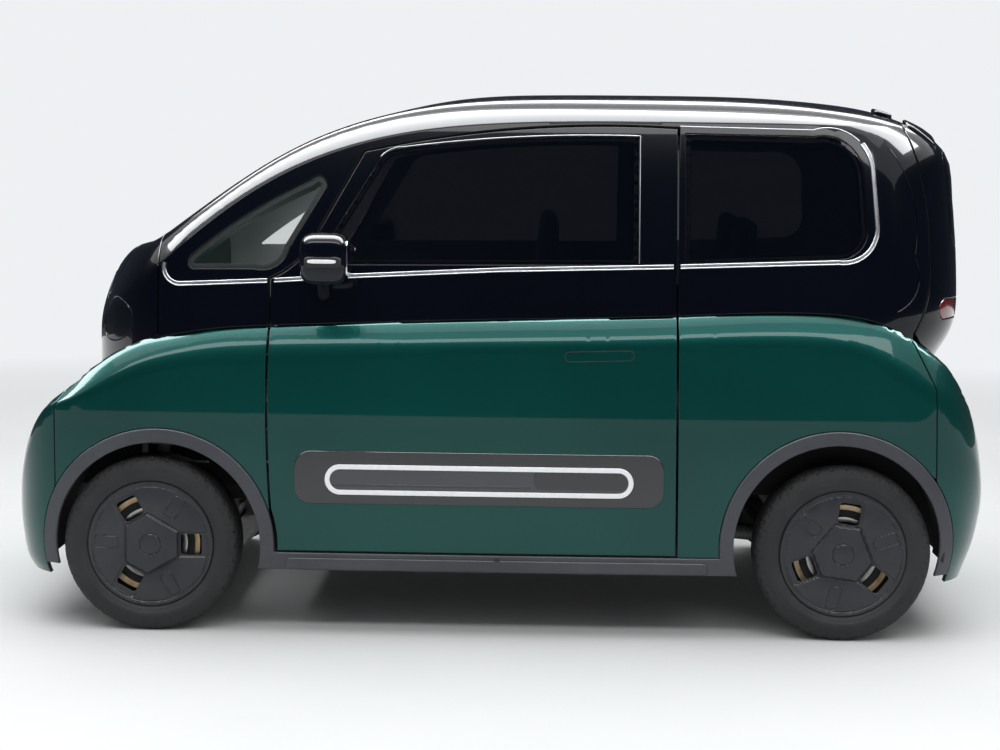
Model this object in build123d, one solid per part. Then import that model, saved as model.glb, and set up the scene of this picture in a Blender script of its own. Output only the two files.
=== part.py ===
"""Small three-door electric city car, an assembly of body panels, glass, seats, suspension and wheels.

Frame: X forward, Y to the left, Z up, origin on the ground at the middle of the car's length.
All lengths are in millimetres.

The body has two forms. The tub is the coloured lower body with a shoulder ledge all round.
The cabin is the black upper body, set in from the tub and leaning inwards.
Both are cut into panels along the real shut lines.
"""

from build123d import *
import math
import os

# Overall sizes
LENGTH = 2894.0
WIDTH = 1656.0
HEIGHT = 1596.0
WHEELBASE = 2020.0
FRONT_OVERHANG = 430.0

# Wheels
TRACK = 1436.0
TYRE_RADIUS = 258.0
TYRE_WIDTH = 155.0
TYRE_SHOULDER = 26.0
RIM_RADIUS = 178.0
RIM_WIDTH = 130.0
RIM_WALL = 8.0
COVER_RADIUS = 184.0
COVER_DEPTH = 14.0
HUB_RADIUS = 58.0
WINDOW_COUNT = 3
WINDOW_WIDTH = 62.0
WINDOW_INNER = 88.0
WINDOW_OUTER = 150.0
FRONT_WINDOW_TURN = 0.0
REAR_WINDOW_TURN = 82.0
STUB_RADIUS = 15.0
ROTOR_RADIUS = 115.0

# Wheel arches
FRONT_ARCH_SHIFT = -22.0
REAR_ARCH_SHIFT = 18.0
REAR_ARCH_RISE = 18.0
ARCH_RADIUS = 302.0
ARCH_TRIM_WIDTH = 41.0
FRONT_LINER_RADIUS = 320.0
REAR_LINER_RADIUS = 312.0
LINER_WALL = 5.0

# Body walls and gaps
CLADDING_PROUD = 5.0
TUB_SKIN = 14.0
DOOR_THICKNESS = 84.0
GLASS_THICKNESS = 6.0
CABIN_WALL = 34.0
SHUT_GAP = 6.0
ARCH_DOOR_GAP = 10.0
GLASS_REBATE = 16.0
DOOR_FLANGE = 15.0
SILL_BOTTOM = 192.0
DOOR_BOTTOM = 249.0
TRIM_PROUD = 3.0
RING_WIDTH = 14.5
MOULDING_PROUD = 4.0
MOULDING_WIDTH = 14.0
SILL_TOP = DOOR_BOTTOM - SHUT_GAP

# Shoulder ledge between tub and cabin
LEDGE_INNER_Y = 775.0
LEDGE_OUTER_Y = 815.0

# Tow socket behind the front bumper
TOW_Y = -400.0
TOW_Z = 400.0
TOW_BORE = 9.0
TOW_BORE_DEPTH = 60.0
TOW_WALL = 7.0
TOW_MOUTH = 46.0
TOW_COVER_RADIUS = 22.0

# Steering
KINGPIN_INSET = 72.0
STEERING_ARM = 110.0
STEERING_WHEEL_RADIUS = 180.0
STEERING_WHEEL_CENTRE = (410.0, 335.0, 915.0)
COLUMN_ANGLE = 25.0

# Structure under the body
FLOOR_Z = 300.0
FLOOR_WALL = 12.0
SILL_INNER_Y = 640.0
SILL_OUTER_Y = 728.0
RAIL_INNER_Y = 370.0
RAIL_OUTER_Y = 430.0
RAIL_BOTTOM = 340.0
REAR_RAIL_BOTTOM = 470.0
FIREWALL_X = 664.0
LOAD_FLOOR_X = -590.0
LOAD_FLOOR_Z = 590.0

# Places worked out from the sizes above
NOSE = LENGTH / 2
TAIL = -LENGTH / 2
HALF = WIDTH / 2 - CLADDING_PROUD
FRONT_AXLE = NOSE - FRONT_OVERHANG
REAR_AXLE = FRONT_AXLE - WHEELBASE
WHEEL_Y = TRACK / 2
KINGPIN_Y = WHEEL_Y - KINGPIN_INSET
AXLE_Z = TYRE_RADIUS
FRONT_ARCH = (FRONT_AXLE + FRONT_ARCH_SHIFT, AXLE_Z)
REAR_ARCH = (REAR_AXLE + REAR_ARCH_SHIFT, AXLE_Z + REAR_ARCH_RISE)
TRIM_RADIUS = ARCH_RADIUS + ARCH_TRIM_WIDTH
FAR = 2000.0

# Side view of the tub. Columns: leg, x, z, outward normal x and z, drop of the crease below the edge
TUB_SIDE = [
    ("to", NOSE - 47, 150, 1.0, 0.0, 0),
    ("via", NOSE - 4, 310, 1.0, 0.0, 0),
    ("end", NOSE - 12, 497, 1.0, 0.1, 0),
    ("via", NOSE - 52, 571, 0.85, 0.5, 8),
    ("end", NOSE - 122, 662, 0.65, 0.75, 18),
    ("to", FRONT_AXLE + 50, 846, 0.5, 0.87, 46),
    ("via", FRONT_AXLE - 42, 876, 0.2, 0.98, 54),
    ("end", FRONT_AXLE - 150, 892, 0.0, 1.0, 55),
    ("via", 0, 930, 0.0, 1.0, 60),
    ("end", REAR_AXLE + 120, 958, 0.0, 1.0, 64),
    ("via", REAR_AXLE + 5, 953, -0.2, 0.98, 70),
    ("end", REAR_AXLE - 95, 925, -0.45, 0.9, 78),
    ("to", TAIL + 185, 846, -0.6, 0.8, 88),
    ("via", TAIL + 88, 726, -0.8, 0.6, 46),
    ("end", TAIL + 24, 596, -0.95, 0.2, 12),
    ("via", TAIL + 1, 430, -1.0, 0.0, 0),
    ("end", TAIL + 62, 192, -1.0, 0.0, 0),
    ("to", TAIL + 62, 150, -1.0, 0.0, 0),
]

# Left half of the tub in plan. Columns: leg, x, y, outward normal x and y
TUB_PLAN = [
    ("to", NOSE, -1.0, 1.0, 0.0),
    ("via", NOSE - 2, 280, 1.0, 0.02),
    ("end", NOSE - 6, 554, 1.0, 0.05),
    ("via", NOSE - 77, HALF - 92, 0.71, 0.71),
    ("end", FRONT_AXLE + 165, HALF - 17, 0.03, 1.0),
    ("via", 0, HALF, 0.0, 1.0),
    ("end", REAR_AXLE - 165, HALF - 17, -0.03, 1.0),
    ("via", TAIL + 77, HALF - 92, -0.71, 0.71),
    ("end", TAIL + 6, 550, -1.0, 0.05),
    ("via", TAIL + 2, 280, -1.0, 0.02),
    ("end", TAIL, -1.0, -1.0, 0.0),
]

# Left half of the tub seen from the front. Columns: leg, y, z, outward normal y and z
TUB_SECTION = [
    ("to", -1.0, 150, 0.0, 0.0),
    ("to", HALF - 17, 150, 1.0, 0.0),
    ("via", HALF, 560, 1.0, 0.0),
    ("end", HALF - 9, 900, 1.0, 0.0),
    ("to", HALF - 12, 1000, 1.0, 0.0),
    ("to", -1.0, 1000, 0.0, 0.0),
]

# Side view of the cabin. Columns: leg, x, z, outward normal x and z, crown at the middle of the car
CABIN_SIDE = [
    ("to", NOSE - 160, 620, 0.0, 0.0, 0),
    ("to", NOSE - 160, 880, 0.0, 0.0, 0),
    ("via", NOSE - 195, 1006, 0.8, 0.6, 6),
    ("end", NOSE - 262, 1064, 0.6, 0.8, 8),
    ("via", NOSE - 325, 1104, 0.5, 0.87, 8),
    ("end", NOSE - 412, 1134, 0.45, 0.9, 8),
    ("via", NOSE - 711, HEIGHT - 251, 0.5, 0.87, 10),
    ("end", NOSE - 994, HEIGHT - 112, 0.35, 0.94, 14),
    ("via", NOSE - 1247, HEIGHT - 60, 0.15, 0.99, 34),
    ("end", NOSE - 1575, HEIGHT - 41, 0.0, 1.0, 40),
    ("via", TAIL + 990, HEIGHT - 38, 0.0, 1.0, 38),
    ("end", TAIL + 680, HEIGHT - 46, 0.0, 1.0, 40),
    ("via", TAIL + 450, HEIGHT - 70, -0.1, 0.99, 40),
    ("end", TAIL + 268, HEIGHT - 107, -0.25, 0.97, 38),
    ("to", TAIL + 133, HEIGHT - 167, -0.6, 0.8, 24),
    ("via", TAIL + 90, HEIGHT - 330, -1.0, 0.15, 10),
    ("end", TAIL + 72, 1030, -1.0, 0.0, 8),
    ("via", TAIL + 82, 930, -1.0, -0.1, 8),
    ("end", TAIL + 126, 830, -0.95, -0.3, 6),
    ("to", TAIL + 190, 620, 0.0, 0.0, 0),
]

# Left half of the cabin in plan. Columns: leg, x, y, outward normal x and y
CABIN_PLAN = [
    ("to", NOSE - 180, -1.0, 1.0, 0.0),
    ("via", NOSE - 188, 200, 1.0, 0.1),
    ("end", NOSE - 212, 400, 0.98, 0.2),
    ("via", NOSE - 300, 640, 0.75, 0.66),
    ("end", NOSE - 560, 785, 0.1, 1.0),
    ("to", 0, 800, 0.0, 1.0),
    ("to", TAIL + 420, 790, 0.0, 1.0),
    ("via", TAIL + 190, 690, -0.7, 0.7),
    ("end", TAIL + 80, 470, -1.0, 0.1),
    ("via", TAIL + 66, 240, -1.0, 0.05),
    ("end", TAIL + 62, -1.0, -1.0, 0.0),
]

# Left half of the cabin seen from the front. Columns: leg, y, z, outward normal y and z
CABIN_SECTION = [
    ("to", -1.0, 600, 0.0, 0.0),
    ("to", LEDGE_INNER_Y + 8, 600, 1.0, 0.0),
    ("to", LEDGE_INNER_Y + 4, 900, 1.0, 0.0),
    ("via", LEDGE_INNER_Y - 14, 1070, 1.0, 0.15),
    ("end", 720, 1290, 1.0, 0.25),
    ("to", 668, HEIGHT - 106, 0.95, 0.3),
    ("via", 646, HEIGHT - 62, 0.75, 0.66),
    ("end", 600, HEIGHT - 36, 0.4, 0.9),
    ("to", -1.0, HEIGHT + 20, 0.0, 0.0),
]
CABIN_STATIONS = [(0.0, 1.0), (330.0, 0.75), (600.0, 0.2), (680.0, 0.0), (820.0, 0.0)]

# Openings and panels in side view, as closed outlines. Columns: leg, x, z
DOOR_FRONT = 668.0
DOOR_REAR = -507.0
DOOR_OUTLINE = [
    ("to", DOOR_FRONT, 1036),
    ("to", DOOR_FRONT, 900),
    ("via", DOOR_FRONT + 4, 690),
    ("end", DOOR_FRONT - 18, DOOR_BOTTOM),
    ("to", DOOR_REAR - 8, DOOR_BOTTOM),
    ("to", DOOR_REAR, 949),
    ("to", DOOR_REAR + 15, HEIGHT - 114),
    ("via", -60, HEIGHT - 120),
    ("end", DOOR_FRONT - 266, HEIGHT - 190),
    ("to", DOOR_FRONT - 141, 1181),
    ("via", DOOR_FRONT - 60, 1072),
    ("end", DOOR_FRONT, 1036),
]
DOOR_GLASS = [
    ("to", DOOR_FRONT - 124, 1080),
    ("to", DOOR_FRONT - 312, HEIGHT - 206),
    ("via", DOOR_FRONT - 338, HEIGHT - 186),
    ("end", DOOR_FRONT - 380, HEIGHT - 177),
    ("via", 10, HEIGHT - 148),
    ("end", DOOR_REAR + 112, HEIGHT - 138),
    ("to", DOOR_REAR + 112, 1090),
]
QUARTER_GLASS = [
    ("to", NOSE - 542, 1100),
    ("via", NOSE - 540, 1072),
    ("end", NOSE - 567, 1064),
    ("to", DOOR_FRONT + 50, 1066),
    ("via", DOOR_FRONT - 28, 1085),
    ("end", DOOR_FRONT - 52, 1128),
    ("to", DOOR_FRONT - 150, 1296),
    ("via", DOOR_FRONT - 152, 1328),
    ("end", DOOR_FRONT - 112, 1326),
    ("via", DOOR_FRONT + 62, 1230),
    ("end", NOSE - 542, 1100),
]
REAR_GLASS = [
    ("to", DOOR_REAR - 22, 1094),
    ("to", TAIL + 480, 1113),
    ("via", TAIL + 415, 1138),
    ("end", TAIL + 392, 1215),
    ("to", TAIL + 402, HEIGHT - 235),
    ("via", TAIL + 440, HEIGHT - 158),
    ("end", TAIL + 545, HEIGHT - 131),
    ("to", DOOR_REAR - 22, HEIGHT - 126),
]
# Belt moulding's centre line, closed over the windows. Columns: leg, x, z
MOULDING_LINE = [
    ("to", NOSE - 467, 1110),
    ("to", NOSE - 475, 1062),
    ("via", NOSE - 484, 1030),
    ("end", NOSE - 522, 1020),
    ("to", DOOR_FRONT, 1032),
    ("to", DOOR_FRONT - 233, 1048),
    ("to", 0, 1071),
    ("to", DOOR_REAR, 1086),
    ("to", TAIL + 472, 1104),
    ("via", TAIL + 387, 1136),
    ("end", TAIL + 363, 1215),
    ("to", TAIL + 375, HEIGHT - 226),
    ("via", TAIL + 412, HEIGHT - 144),
    ("end", TAIL + 547, HEIGHT - 112),
    ("to", DOOR_REAR + 16, HEIGHT - 106),
    ("to", NOSE - 467, HEIGHT - 106),
]
# Door trim panel and its ring in side view. Columns: rear x, front x, bottom z, top z, corner radius
TRIM_PANEL = (DOOR_REAR + 30, DOOR_FRONT - 76, 390.0, 544.0, 46.0)
TRIM_RING = (DOOR_REAR + 117, DOOR_FRONT - 164, 417.0, 506.0, 44.4)
TAILGATE_OUTLINE = [
    ("to", TAIL + 264, HEIGHT + 60),
    ("to", TAIL + 264, HEIGHT - 112),
    ("via", TAIL + 213, HEIGHT - 265),
    ("end", TAIL + 193, 1120),
    ("via", TAIL + 196, 1010),
    ("end", TAIL + 240, 898),
    ("to", TAIL + 189, 862),
    ("to", TAIL + 115, 800),
    ("to", TAIL - 60, 780),
    ("to", TAIL - 60, HEIGHT + 60),
]
# Bonnet and windscreen from above, left half. Columns: leg, x, y
BONNET_OUTLINE = [
    ("to", NOSE - 382, -1.0),
    ("to", NOSE - 386, 430),
    ("via", NOSE - 372, 470),
    ("end", NOSE - 340, 480),
    ("to", NOSE - 270, 470),
    ("via", NOSE - 232, 440),
    ("end", NOSE - 222, 400),
    ("to", NOSE - 206, -1.0),
]
WINDSCREEN_OUTLINE = [
    ("to", NOSE - 1115, -1.0),
    ("to", NOSE - 1106, 480),
    ("via", NOSE - 1090, 540),
    ("end", NOSE - 1030, 560),
    ("to", NOSE - 520, 640),
    ("via", NOSE - 470, 620),
    ("end", NOSE - 452, 560),
    ("via", NOSE - 424, 250),
    ("end", NOSE - 416, -1.0),
]
# Rear window and lamps from behind, left half. Columns: leg, y, z
REAR_WINDOW = [
    ("to", -1.0, 1140),
    ("to", 470, 1146),
    ("via", 515, 1162),
    ("end", 530, 1210),
    ("to", 505, HEIGHT - 210),
    ("via", 485, HEIGHT - 176),
    ("end", 440, HEIGHT - 168),
    ("to", -1.0, HEIGHT - 160),
]
TAIL_LAMP = [
    ("to", 430, 935),
    ("to", 600, 935),
    ("via", 640, 965),
    ("end", 600, 995),
    ("to", 430, 995),
    ("via", 400, 965),
    ("end", 430, 935),
]
HEAD_LAMP = [
    ("to", 545, 850),
    ("via", 620, 840),
    ("end", 690, 866),
    ("via", 702, 905),
    ("end", 676, 948),
    ("via", 610, 968),
    ("end", 548, 962),
    ("via", 520, 905),
    ("end", 545, 850),
]


def at_x(x):
    """Places a (y, z) point in the plane at x."""
    return lambda y, z: Vector(x, y, z)


def at_y(y):
    """Places an (x, z) point in the plane at y."""
    return lambda x, z: Vector(x, y, z)


def at_z(z):
    """Places an (x, y) point in the plane at z."""
    return lambda x, y: Vector(x, y, z)


def trace(rows, place):
    """Closed wire through rows of (leg, u, v): straight legs, and arcs through a via row to an end row."""
    points = [place(row[1], row[2]) for row in rows]
    edges = []
    here = 0
    while here < len(rows) - 1:
        if rows[here + 1][0] == "via":
            edges.append(Edge.make_three_point_arc(points[here], points[here + 1], points[here + 2]))
            here += 2
        else:
            edges.append(Edge.make_line(points[here], points[here + 1]))
            here += 1
    if (points[-1] - points[0]).length > 0.001:
        edges.append(Edge.make_line(points[-1], points[0]))
    return Wire(edges)


def prism(rows, place, run):
    """Solid of a closed outline carried along the vector run."""
    return Solid.extrude(Face(trace(rows, place)), Vector(*run))


def side_prism(rows, low=-20.0, high=1000.0):
    """Solid over a side view outline, from y = low to y = high."""
    return prism(rows, at_y(low), (0, high - low, 0))


def plan_prism(rows, low=-10.0, high=1800.0):
    """Solid over a plan outline."""
    return prism(rows, at_z(low), (0, 0, high - low))


def front_prism(rows, low, high):
    """Solid over a front view outline, from x = low to x = high."""
    return prism(rows, at_x(low), (high - low, 0, 0))


def grown(rows, margin, low=-20.0, high=1000.0):
    """Side view prism of an outline offset outwards, or inwards by a negative margin."""
    face = offset(Face(trace(rows, at_y(low))), amount=margin, kind=Kind.ARC)
    return extrude(face, high - low, dir=(0, 1, 0))


def rounded(x0, x1, z0, z1, radius, rim=0.0):
    """Side view prism of a rounded rectangle, smaller by rim."""
    plane = Plane(origin=((x0 + x1) / 2, 400, (z0 + z1) / 2), x_dir=(1, 0, 0), z_dir=(0, 1, 0))
    sketch = RectangleRounded(x1 - x0 - 2 * rim, z1 - z0 - 2 * rim, radius - rim)
    return extrude(plane * sketch, 600, dir=(0, 1, 0))


def inset(rows, wall):
    """Rows of (leg, u, v, normal u, normal v, ...) moved inwards along their normals."""
    return [(row[0], row[1] - row[3] * wall, row[2] - row[4] * wall) for row in rows]


def block(x0, x1, y0, y1, z0, z1):
    """Box between two corners."""
    return Pos((x0 + x1) / 2, (y0 + y1) / 2, (z0 + z1) / 2) * Box(x1 - x0, y1 - y0, z1 - z0)


def rod_y(x, z, radius, y0, y1):
    """Cylinder along Y."""
    return Pos(x, (y0 + y1) / 2, z) * Rot(90, 0, 0) * Cylinder(radius, y1 - y0)


def rod(start, end, radius):
    """Round bar between two points."""
    a, b = Vector(start), Vector(end)
    return Solid.make_cylinder(radius, (b - a).length, Plane(origin=a, z_dir=(b - a)))


def mirrored(shape):
    """The same piece on the other side of the car."""
    return mirror(shape, Plane.XZ)


def whole(half):
    """Both halves of a central piece as one solid."""
    return half + mirrored(half)


def pair(piece):
    """A piece and its mirror image, as separate solids of one node."""
    return Compound(children=[*piece.solids(), *mirrored(piece).solids()])


def write(name, shape):
    """Exports one node."""
    export_step(shape, "parts/" + name + ".step")


def tub(wall=0.0):
    """Left half of the filled tub, with its surfaces moved inwards by wall."""
    def wire(y, ledge):
        rows = [
            (leg, x - nx * wall, z - nz * wall - drop * ledge)
            for leg, x, z, nx, nz, drop in TUB_SIDE
        ]
        return trace(rows, at_y(y))

    stations = [(-1.0, 0.0), (LEDGE_INNER_Y - wall, 0.0), (LEDGE_OUTER_Y - wall, 1.0), (HALF + 30, 1.0)]
    body = Solid.make_loft([wire(y, ledge) for y, ledge in stations], ruled=True)
    body = body & plan_prism(inset(TUB_PLAN, wall))
    return body & front_prism(inset(TUB_SECTION, wall), -FAR, FAR)


def cabin(wall=0.0):
    """Left half of the filled cabin, with its surfaces moved inwards by wall."""
    def wire(y, crown):
        rows = [
            (leg, x - nx * (wall - rise * crown), z - nz * (wall - rise * crown))
            for leg, x, z, nx, nz, rise in CABIN_SIDE
        ]
        return trace(rows, at_y(y))

    stations = [(-1.0, 1.0)] + [(y, crown) for y, crown in CABIN_STATIONS[1:]]
    body = Solid.make_loft([wire(y, crown) for y, crown in stations], ruled=True)
    body = body & plan_prism(inset(CABIN_PLAN, wall))
    return body & front_prism(inset(CABIN_SECTION, wall), -FAR, FAR)


def left_of_middle(shape):
    """The part of a half body that lies on the left of the car's middle plane."""
    return shape & block(-FAR, FAR, 0, FAR, -100, FAR)


TUB = left_of_middle(tub())
TUB_INNER = left_of_middle(tub(TUB_SKIN))
TUB_DEEP = left_of_middle(tub(DOOR_THICKNESS))
TUB_PROUD = left_of_middle(tub(-CLADDING_PROUD))
CABIN = left_of_middle(cabin())
CABIN_UNDER_SKIN = left_of_middle(cabin(GLASS_THICKNESS))
CABIN_INNER = left_of_middle(cabin(CABIN_WALL))

TUB_PANEL = TUB - TUB_INNER - CABIN_INNER
CABIN_OUTER_LAYER = CABIN - CABIN_UNDER_SKIN - TUB
CABIN_INNER_LAYER = CABIN_UNDER_SKIN - CABIN_INNER - TUB

FRONT_TRIM_DISC = rod_y(*FRONT_ARCH, TRIM_RADIUS, 400, 1000)
REAR_TRIM_DISC = rod_y(*REAR_ARCH, TRIM_RADIUS, 400, 1000)
DOOR_APERTURE = grown(DOOR_OUTLINE, SHUT_GAP, 400) + block(
    DOOR_REAR - SHUT_GAP, DOOR_REAR + 30, 400, 1000, 945, HEIGHT - 108
)
FRONT_BUMPER_REGION = side_prism([
    ("to", NOSE - 185, 1000),
    ("to", NOSE - 185, 712),
    ("to", NOSE - 148, 660),
    ("to", NOSE - 150, 100),
    ("to", NOSE + 100, 100),
    ("to", NOSE + 100, 1000),
]) + block(NOSE - 260, NOSE, -10, 560, 600, 1000)
REAR_BUMPER_REGION = side_prism([
    ("to", TAIL + 275, 1000),
    ("to", TAIL + 268, 905),
    ("to", TAIL + 186, 742),
    ("to", TAIL + 170, 100),
    ("to", TAIL - 100, 100),
    ("to", TAIL - 100, 1000),
])
TAILGATE_REGION = side_prism(TAILGATE_OUTLINE)
TAILGATE_GAP_REGION = grown(TAILGATE_OUTLINE, SHUT_GAP)


def windowed(outer, inner, window, frame):
    """Panel with a window: the opening holds the glass, and the layer behind it makes the rebate."""
    return (outer - window) + (inner - frame)


def door_lower():
    """Coloured lower door: skin to the shut line, and behind it the box of the door."""
    skin = (TUB - TUB_INNER - CABIN_INNER) & side_prism(DOOR_OUTLINE)
    box = (TUB_INNER - TUB_DEEP - CABIN_INNER) & grown(DOOR_OUTLINE, -DOOR_FLANGE)
    clear = rod_y(*FRONT_ARCH, TRIM_RADIUS + ARCH_DOOR_GAP, 400, 1000)
    return skin + box - clear


def door_upper():
    """Black upper door with its window opening."""
    outer = CABIN_OUTER_LAYER & side_prism(DOOR_OUTLINE)
    inner = CABIN_INNER_LAYER & grown(DOOR_OUTLINE, -DOOR_FLANGE)
    return windowed(outer, inner, side_prism(DOOR_GLASS), grown(DOOR_GLASS, -GLASS_REBATE))


def moulding():
    """Bright strip along the belt and round the rear side window."""
    strip = grown(MOULDING_LINE, MOULDING_WIDTH / 2) - grown(MOULDING_LINE, -MOULDING_WIDTH / 2)
    return (left_of_middle(cabin(-MOULDING_PROUD)) - CABIN) & strip


def door_trim(strip):
    """Trim panel with its raised ring on the door's skin, and the door's length of the belt strip."""
    panel = (left_of_middle(tub(-TRIM_PROUD)) - TUB) & rounded(*TRIM_PANEL)
    ring = (TUB_PROUD - TUB) & (rounded(*TRIM_RING) - rounded(*TRIM_RING, RING_WIDTH))
    belt = strip & side_prism(DOOR_OUTLINE) & block(-FAR, FAR, 400, 1000, 900, HEIGHT - 400)
    return Compound(children=[*(panel + ring).solids(), *belt.solids()])


def belt_strip(strip):
    """The fixed lengths of the belt strip: ahead of the door, and behind it round the window."""
    ahead = block(DOOR_FRONT - 20, FAR, 400, 1000, 900, 1078)
    behind = block(-FAR, DOOR_REAR + 30, 400, 1000, 900, HEIGHT)
    return (strip & (ahead + behind)) - DOOR_APERTURE


def side_pane(rows):
    """Flush side glass of one opening."""
    return (CABIN - CABIN_UNDER_SKIN) & side_prism(rows)


def windscreen_region(margin=0.0):
    """Space over the windscreen's outline, smaller by margin."""
    face = Face(trace(WINDSCREEN_OUTLINE, at_z(1100)))
    if margin:
        face = offset(face, amount=-margin, kind=Kind.ARC)
        face = face + Pos(0, -margin, 0) * face
    return extrude(face, 700, dir=(0, 0, 1))


def rear_window_region(margin=0.0):
    """Space behind the rear window's outline, smaller by margin."""
    face = Face(trace(REAR_WINDOW, at_x(-1500)))
    if margin:
        face = offset(face, amount=-margin, kind=Kind.ARC)
        face = face + Pos(0, -margin, 0) * face
    return extrude(face, 300, dir=(1, 0, 0))


def bonnet_region(margin=0.0):
    """Space over the bonnet's outline, larger by margin."""
    face = Face(trace(BONNET_OUTLINE, at_z(900)))
    if margin:
        face = offset(face, amount=margin, kind=Kind.ARC)
    return extrude(face, 400, dir=(0, 0, 1))


def cabin_half():
    """Left half of the fixed cabin: pillars, roof, cowl, mask and rear quarter, with every opening cut."""
    moving = DOOR_APERTURE + TAILGATE_GAP_REGION + bonnet_region(SHUT_GAP)
    outer = CABIN_OUTER_LAYER - moving
    inner = CABIN_INNER_LAYER - moving
    panes = side_prism(QUARTER_GLASS) + side_prism(REAR_GLASS) + windscreen_region()
    rear_frame = grown(REAR_GLASS, -GLASS_REBATE) - block(DOOR_REAR - 90, 0, -50, 1000, 900, 1700)
    frames = grown(QUARTER_GLASS, -GLASS_REBATE) + rear_frame + windscreen_region(GLASS_REBATE)
    return windowed(outer, inner, panes, frames)


def tailgate_half():
    """Left half of the tailgate, with the rear window and lamp openings."""
    outer = CABIN_OUTER_LAYER & TAILGATE_REGION
    inner = CABIN_INNER_LAYER & TAILGATE_REGION
    gate = windowed(outer, inner, rear_window_region(), rear_window_region(GLASS_REBATE))
    return gate - front_prism(TAIL_LAMP, TAIL - 50, TAIL + 200)


def cladding():
    """Plastic arch trims and sill strip of the left side, one strip proud of the paint."""
    skin = TUB_PROUD - TUB_INNER
    sill = block(REAR_ARCH[0], FRONT_ARCH[0], 400, 1000, SILL_BOTTOM, SILL_TOP)
    strip = (FRONT_TRIM_DISC + REAR_TRIM_DISC + sill) & block(-FAR, FAR, 400, 1000, SILL_BOTTOM, 900)
    holes = rod_y(*FRONT_ARCH, ARCH_RADIUS, 300, 1100) + rod_y(*REAR_ARCH, ARCH_RADIUS, 300, 1100)
    return (skin & strip) - holes


def liner(centre, radius, inner_y):
    """Curved wheel housing over one wheel, open below its inner wall for the axle."""
    x, z = centre
    arch = rod_y(x, z, radius + LINER_WALL, inner_y, HALF) - rod_y(x, z, radius, inner_y + LINER_WALL, HALF + 1)
    arch = arch & block(x - 500, x + 500, inner_y, HALF, z - 40, z + 500)
    arch = arch - block(x - radius, x + radius, inner_y - 1, inner_y + LINER_WALL, z - 50, z + 125)
    return arch & TUB_INNER


def front_liner():
    """Front wheel housing with a notch for the strut."""
    notch = block(FRONT_AXLE - 118, FRONT_AXLE + 88, 0, 676, AXLE_Z, 700)
    return liner(FRONT_ARCH, FRONT_LINER_RADIUS, RAIL_OUTER_Y + 8) - notch


def tyre(axle_x, z):
    """Tyre as a ring with rounded shoulders."""
    inner, w, s = RIM_RADIUS - 2, TYRE_WIDTH / 2, TYRE_SHOULDER
    rows = [
        ("to", inner, -w + 18),
        ("to", inner + 14, -w + 6),
        ("via", (inner + TYRE_RADIUS) / 2, -w),
        ("end", TYRE_RADIUS - s, -w + 6),
        ("via", TYRE_RADIUS - 8, -w + 12),
        ("end", TYRE_RADIUS - 1, -w + s + 6),
        ("via", TYRE_RADIUS, 0),
        ("end", TYRE_RADIUS - 1, w - s - 6),
        ("via", TYRE_RADIUS - 8, w - 12),
        ("end", TYRE_RADIUS - s, w - 6),
        ("via", (inner + TYRE_RADIUS) / 2, w),
        ("end", inner + 14, w - 6),
        ("to", inner, w - 18),
    ]
    ring = revolve(Face(trace(rows, lambda r, y: Vector(axle_x + r, WHEEL_Y + y, z))),
                   Axis((axle_x, WHEEL_Y, z), (0, 1, 0)))
    return ring


def wheel(axle_x, z, turn):
    """Rim, brake disc and hub with the three-window cover, one piece that spins."""
    y0, y1 = WHEEL_Y - RIM_WIDTH / 2, WHEEL_Y + RIM_WIDTH / 2
    face = WHEEL_Y + TYRE_WIDTH / 2 - 2
    r = RIM_RADIUS - 2
    rows = [
        ("to", 0, y0 + 20),
        ("to", 60, y0 + 20),
        ("to", 60, y1 - 60),
        ("to", r - 26, y1 - 40),
        ("to", r - 26, y0 + 14),
        ("to", r - RIM_WALL, y0 + 6),
        ("to", r - RIM_WALL, y0),
        ("to", r, y0),
        ("to", r, y1 - 4),
        ("to", COVER_RADIUS, y1 + 4),
        ("to", COVER_RADIUS, face - 6),
        ("via", (COVER_RADIUS + HUB_RADIUS) / 2 + 30, face),
        ("end", HUB_RADIUS + 10, face - 6),
        ("to", HUB_RADIUS, face + 2),
        ("to", 0, face + 3),
    ]
    disc = revolve(Face(trace(rows, lambda u, y: Vector(axle_x + u, y, z))), Axis((axle_x, 0, z), (0, 1, 0)))
    pocket = rod_y(axle_x, z, r - 34, y1 - 34, face - COVER_DEPTH) - rod_y(axle_x, z, HUB_RADIUS, 0, 1000)
    disc = disc + rod_y(axle_x, z, ROTOR_RADIUS, y0 + 8, y0 + 21)
    disc = disc - pocket - rod_y(axle_x, z, STUB_RADIUS + 0.5, y0 - 10, WHEEL_Y - 10)
    for k in range(WINDOW_COUNT):
        angle = turn + 360.0 * k / WINDOW_COUNT
        window = Pos((WINDOW_INNER + WINDOW_OUTER) / 2, 0, 0) * Box(
            WINDOW_OUTER - WINDOW_INNER, 120, WINDOW_WIDTH
        )
        disc = disc - Pos(axle_x, face - 10, z) * Rot(0, 180 + angle, 0) * window
    return disc


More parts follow.
